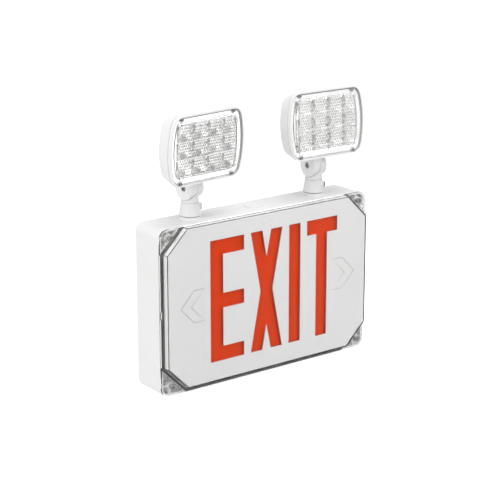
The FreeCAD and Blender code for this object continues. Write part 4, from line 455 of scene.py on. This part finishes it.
# ------------------------------------------------------------------ collars, knuckles and their screws
# White moulded collars stand on the housing on thin foam washers; the knuckles turn in them
# and are held by blackened set screws, with a plated nut inside the housing.
screw_dark = rolled_steel("screw_dark", (0.34, 0.34, 0.34), 0.36, TURNED)
# The collars and knuckles are the housing's white plastic made a little darker: painted shade.
shaded_collar_white = moulded_plastic("shaded_collar_white", (0.87, 0.87, 0.865), 0.02, 0.40)
for side in ("left", "right"):
    finish_node(shaded_collar_white, side + "_collar", side + "_knuckle")
    finish_node(foam_dark, side + "_collar_gasket")
    finish_node(screw_steel, side + "_collar_nut", side + "_tilt_nut")
    finish_node(screw_dark, side + "_set_screw", side + "_tilt_screw")

# ------------------------------------------------------------------ lamp heads
# Each head is a white moulded shell with its lug, closed by a clear lens on a thin seal and
# four small screws. Inside are a bright reflector and the lamp board.
shell_white = moulded_plastic("shell_white", (0.90, 0.90, 0.895), 0.02, 0.42)
seal_white = moulded_plastic("seal_white", (0.62, 0.62, 0.615), 0.03, 0.6)
lens_clear = clear_plastic("lens_clear", (0.972, 0.97, 0.968), 0.02, 0.97, ior=1.4)
reflector_bright = rolled_steel("reflector_bright", (0.95, 0.95, 0.95), 0.20, (40.0, 40.0, 40.0))
for side in ("left", "right"):
    finish_node(shell_white, side + "_lamp_body")
    eased_copy(side + "_lens_gasket", side + "_lens_seal", side + "_lamp", seal_white)
    finish_node(lens_clear, side + "_lens")
    finish_node(screw_dark, side + "_lens_screws")
    finish_node(reflector_bright, side + "_reflector")
    finish_node(board_white, side + "_led_board")

# ------------------------------------------------------------------ lens prisms
# The back of each lens panel is moulded as a staggered field of small blunt cones that spreads
# the lamps' light. They stand on the panel with their feet sunk into it, within its bowed edge.
PRISM_SIDES = 10
PRISM_TIP_SHARE = 0.35
PANEL_BACK = -0.02965
HEAD_RISE = 0.0551
HEAD_SPREAD = 0.0945
TILT_AXIS_Y, TILT_AXIS_Z = -0.0246, 0.1413
prism_clear = clear_plastic("prism_clear", (0.75, 0.745, 0.74), 0.04, 0.95)
prism_sizes = {"Pitch": 0.00345, "Columns": 26, "Rows": 17, "Foot Radius": 0.0012,
               "Height": 0.00095, "Half Width": 0.0441, "Bow": 4.4, "Finish": prism_clear}
prism_tree = bpy.data.node_groups.new("prism_field", "GeometryNodeTree")
prism_sockets = {}
for label, kind in (("Geometry", "NodeSocketGeometry"), ("Pitch", "NodeSocketFloat"),
                    ("Columns", "NodeSocketInt"), ("Rows", "NodeSocketInt"),
                    ("Foot Radius", "NodeSocketFloat"), ("Height", "NodeSocketFloat"),
                    ("Half Width", "NodeSocketFloat"), ("Bow", "NodeSocketFloat"),
                    ("Finish", "NodeSocketMaterial")):
    prism_sockets[label] = prism_tree.interface.new_socket(label, in_out="INPUT", socket_type=kind)
prism_tree.interface.new_socket("Geometry", in_out="OUTPUT", socket_type="NodeSocketGeometry")
prism_in = prism_tree.nodes.new("NodeGroupInput").outputs
prism_out = prism_tree.nodes.new("NodeGroupOutput")


def sum_node(tree, operation, first, second):
    """One sum on two values; each is a socket or a number."""
    node = tree.nodes.new("ShaderNodeMath")
    node.operation = operation
    for socket, value in zip(node.inputs, (first, second)):
        if isinstance(value, (int, float)):
            socket.default_value = value
        else:
            link(tree, value, socket)
    return node.outputs[0]


field = prism_tree.nodes.new("GeometryNodeMeshGrid")
link(prism_tree, sum_node(prism_tree, "MULTIPLY", sum_node(prism_tree, "SUBTRACT", prism_in["Columns"], 1),
                          prism_in["Pitch"]), field.inputs["Size X"])
link(prism_tree, sum_node(prism_tree, "MULTIPLY", sum_node(prism_tree, "SUBTRACT", prism_in["Rows"], 1),
                          prism_in["Pitch"]), field.inputs["Size Y"])
link(prism_tree, prism_in["Columns"], field.inputs["Vertices X"])
link(prism_tree, prism_in["Rows"], field.inputs["Vertices Y"])
row = sum_node(prism_tree, "FLOORED_MODULO", prism_tree.nodes.new("GeometryNodeInputIndex").outputs[0],
               prism_in["Rows"])
odd = sum_node(prism_tree, "FLOORED_MODULO", row, 2)
step = sum_node(prism_tree, "MULTIPLY", sum_node(prism_tree, "SUBTRACT", odd, 0.5),
                sum_node(prism_tree, "MULTIPLY", prism_in["Pitch"], 0.5))
step_vector = prism_tree.nodes.new("ShaderNodeCombineXYZ")
link(prism_tree, step, step_vector.inputs["X"])
stagger = prism_tree.nodes.new("GeometryNodeSetPosition")
link(prism_tree, field.outputs["Mesh"], stagger.inputs["Geometry"])
link(prism_tree, step_vector.outputs[0], stagger.inputs["Offset"])
spot = prism_tree.nodes.new("ShaderNodeSeparateXYZ")
link(prism_tree, prism_tree.nodes.new("GeometryNodeInputPosition").outputs[0], spot.inputs[0])
reach = sum_node(prism_tree, "ADD", sum_node(prism_tree, "ABSOLUTE", spot.outputs["X"], 0),
                 sum_node(prism_tree, "MULTIPLY", prism_in["Bow"],
                          sum_node(prism_tree, "MULTIPLY", spot.outputs["Y"], spot.outputs["Y"])))
inside = sum_node(prism_tree, "LESS_THAN", reach, prism_in["Half Width"])
prism_shape = prism_tree.nodes.new("GeometryNodeMeshCone")
prism_shape.inputs["Vertices"].default_value = PRISM_SIDES
link(prism_tree, prism_in["Foot Radius"], prism_shape.inputs["Radius Bottom"])
link(prism_tree, sum_node(prism_tree, "MULTIPLY", prism_in["Foot Radius"], PRISM_TIP_SHARE),
     prism_shape.inputs["Radius Top"])
link(prism_tree, prism_in["Height"], prism_shape.inputs["Depth"])
sow = prism_tree.nodes.new("GeometryNodeInstanceOnPoints")
link(prism_tree, stagger.outputs[0], sow.inputs["Points"])
link(prism_tree, inside, sow.inputs["Selection"])
link(prism_tree, prism_shape.outputs["Mesh"], sow.inputs["Instance"])
realize = prism_tree.nodes.new("GeometryNodeRealizeInstances")
coat = prism_tree.nodes.new("GeometryNodeSetMaterial")
link(prism_tree, sow.outputs[0], realize.inputs[0])
link(prism_tree, realize.outputs[0], coat.inputs["Geometry"])
link(prism_tree, prism_in["Finish"], coat.inputs["Material"])
link(prism_tree, coat.outputs[0], prism_out.inputs[0])

for side, across, pan, tilt in (("left", -HEAD_SPREAD, 5.9, 3.2), ("right", HEAD_SPREAD, -2.4, -3.1)):
    prisms = bpy.data.objects.new(side + "_lens_prisms", bpy.data.meshes.new(side + "_prism_seed"))
    bpy.context.collection.objects.link(prisms)
    sowing = prisms.modifiers.new("prism_field", "NODES")
    sowing.node_group = prism_tree
    for label, value in prism_sizes.items():
        sowing[prism_sockets[label].identifier] = value
    prisms.data = baked_mesh(prisms, side + "_lens_prisms")
    prisms.modifiers.clear()
    in_head = Matrix.Translation((0, PANEL_BACK, HEAD_RISE)) @ Matrix.Rotation(-math.pi / 2, 4, "X")
    at_head = (Matrix.Translation((across, TILT_AXIS_Y, TILT_AXIS_Z))
               @ Matrix.Rotation(math.radians(pan), 4, "Z") @ Matrix.Rotation(math.radians(tilt), 4, "X"))
    prisms.data.transform(at_head @ in_head)
    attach(prisms, side + "_lamp")

bpy.context.scene.view_settings.view_transform = "Standard"
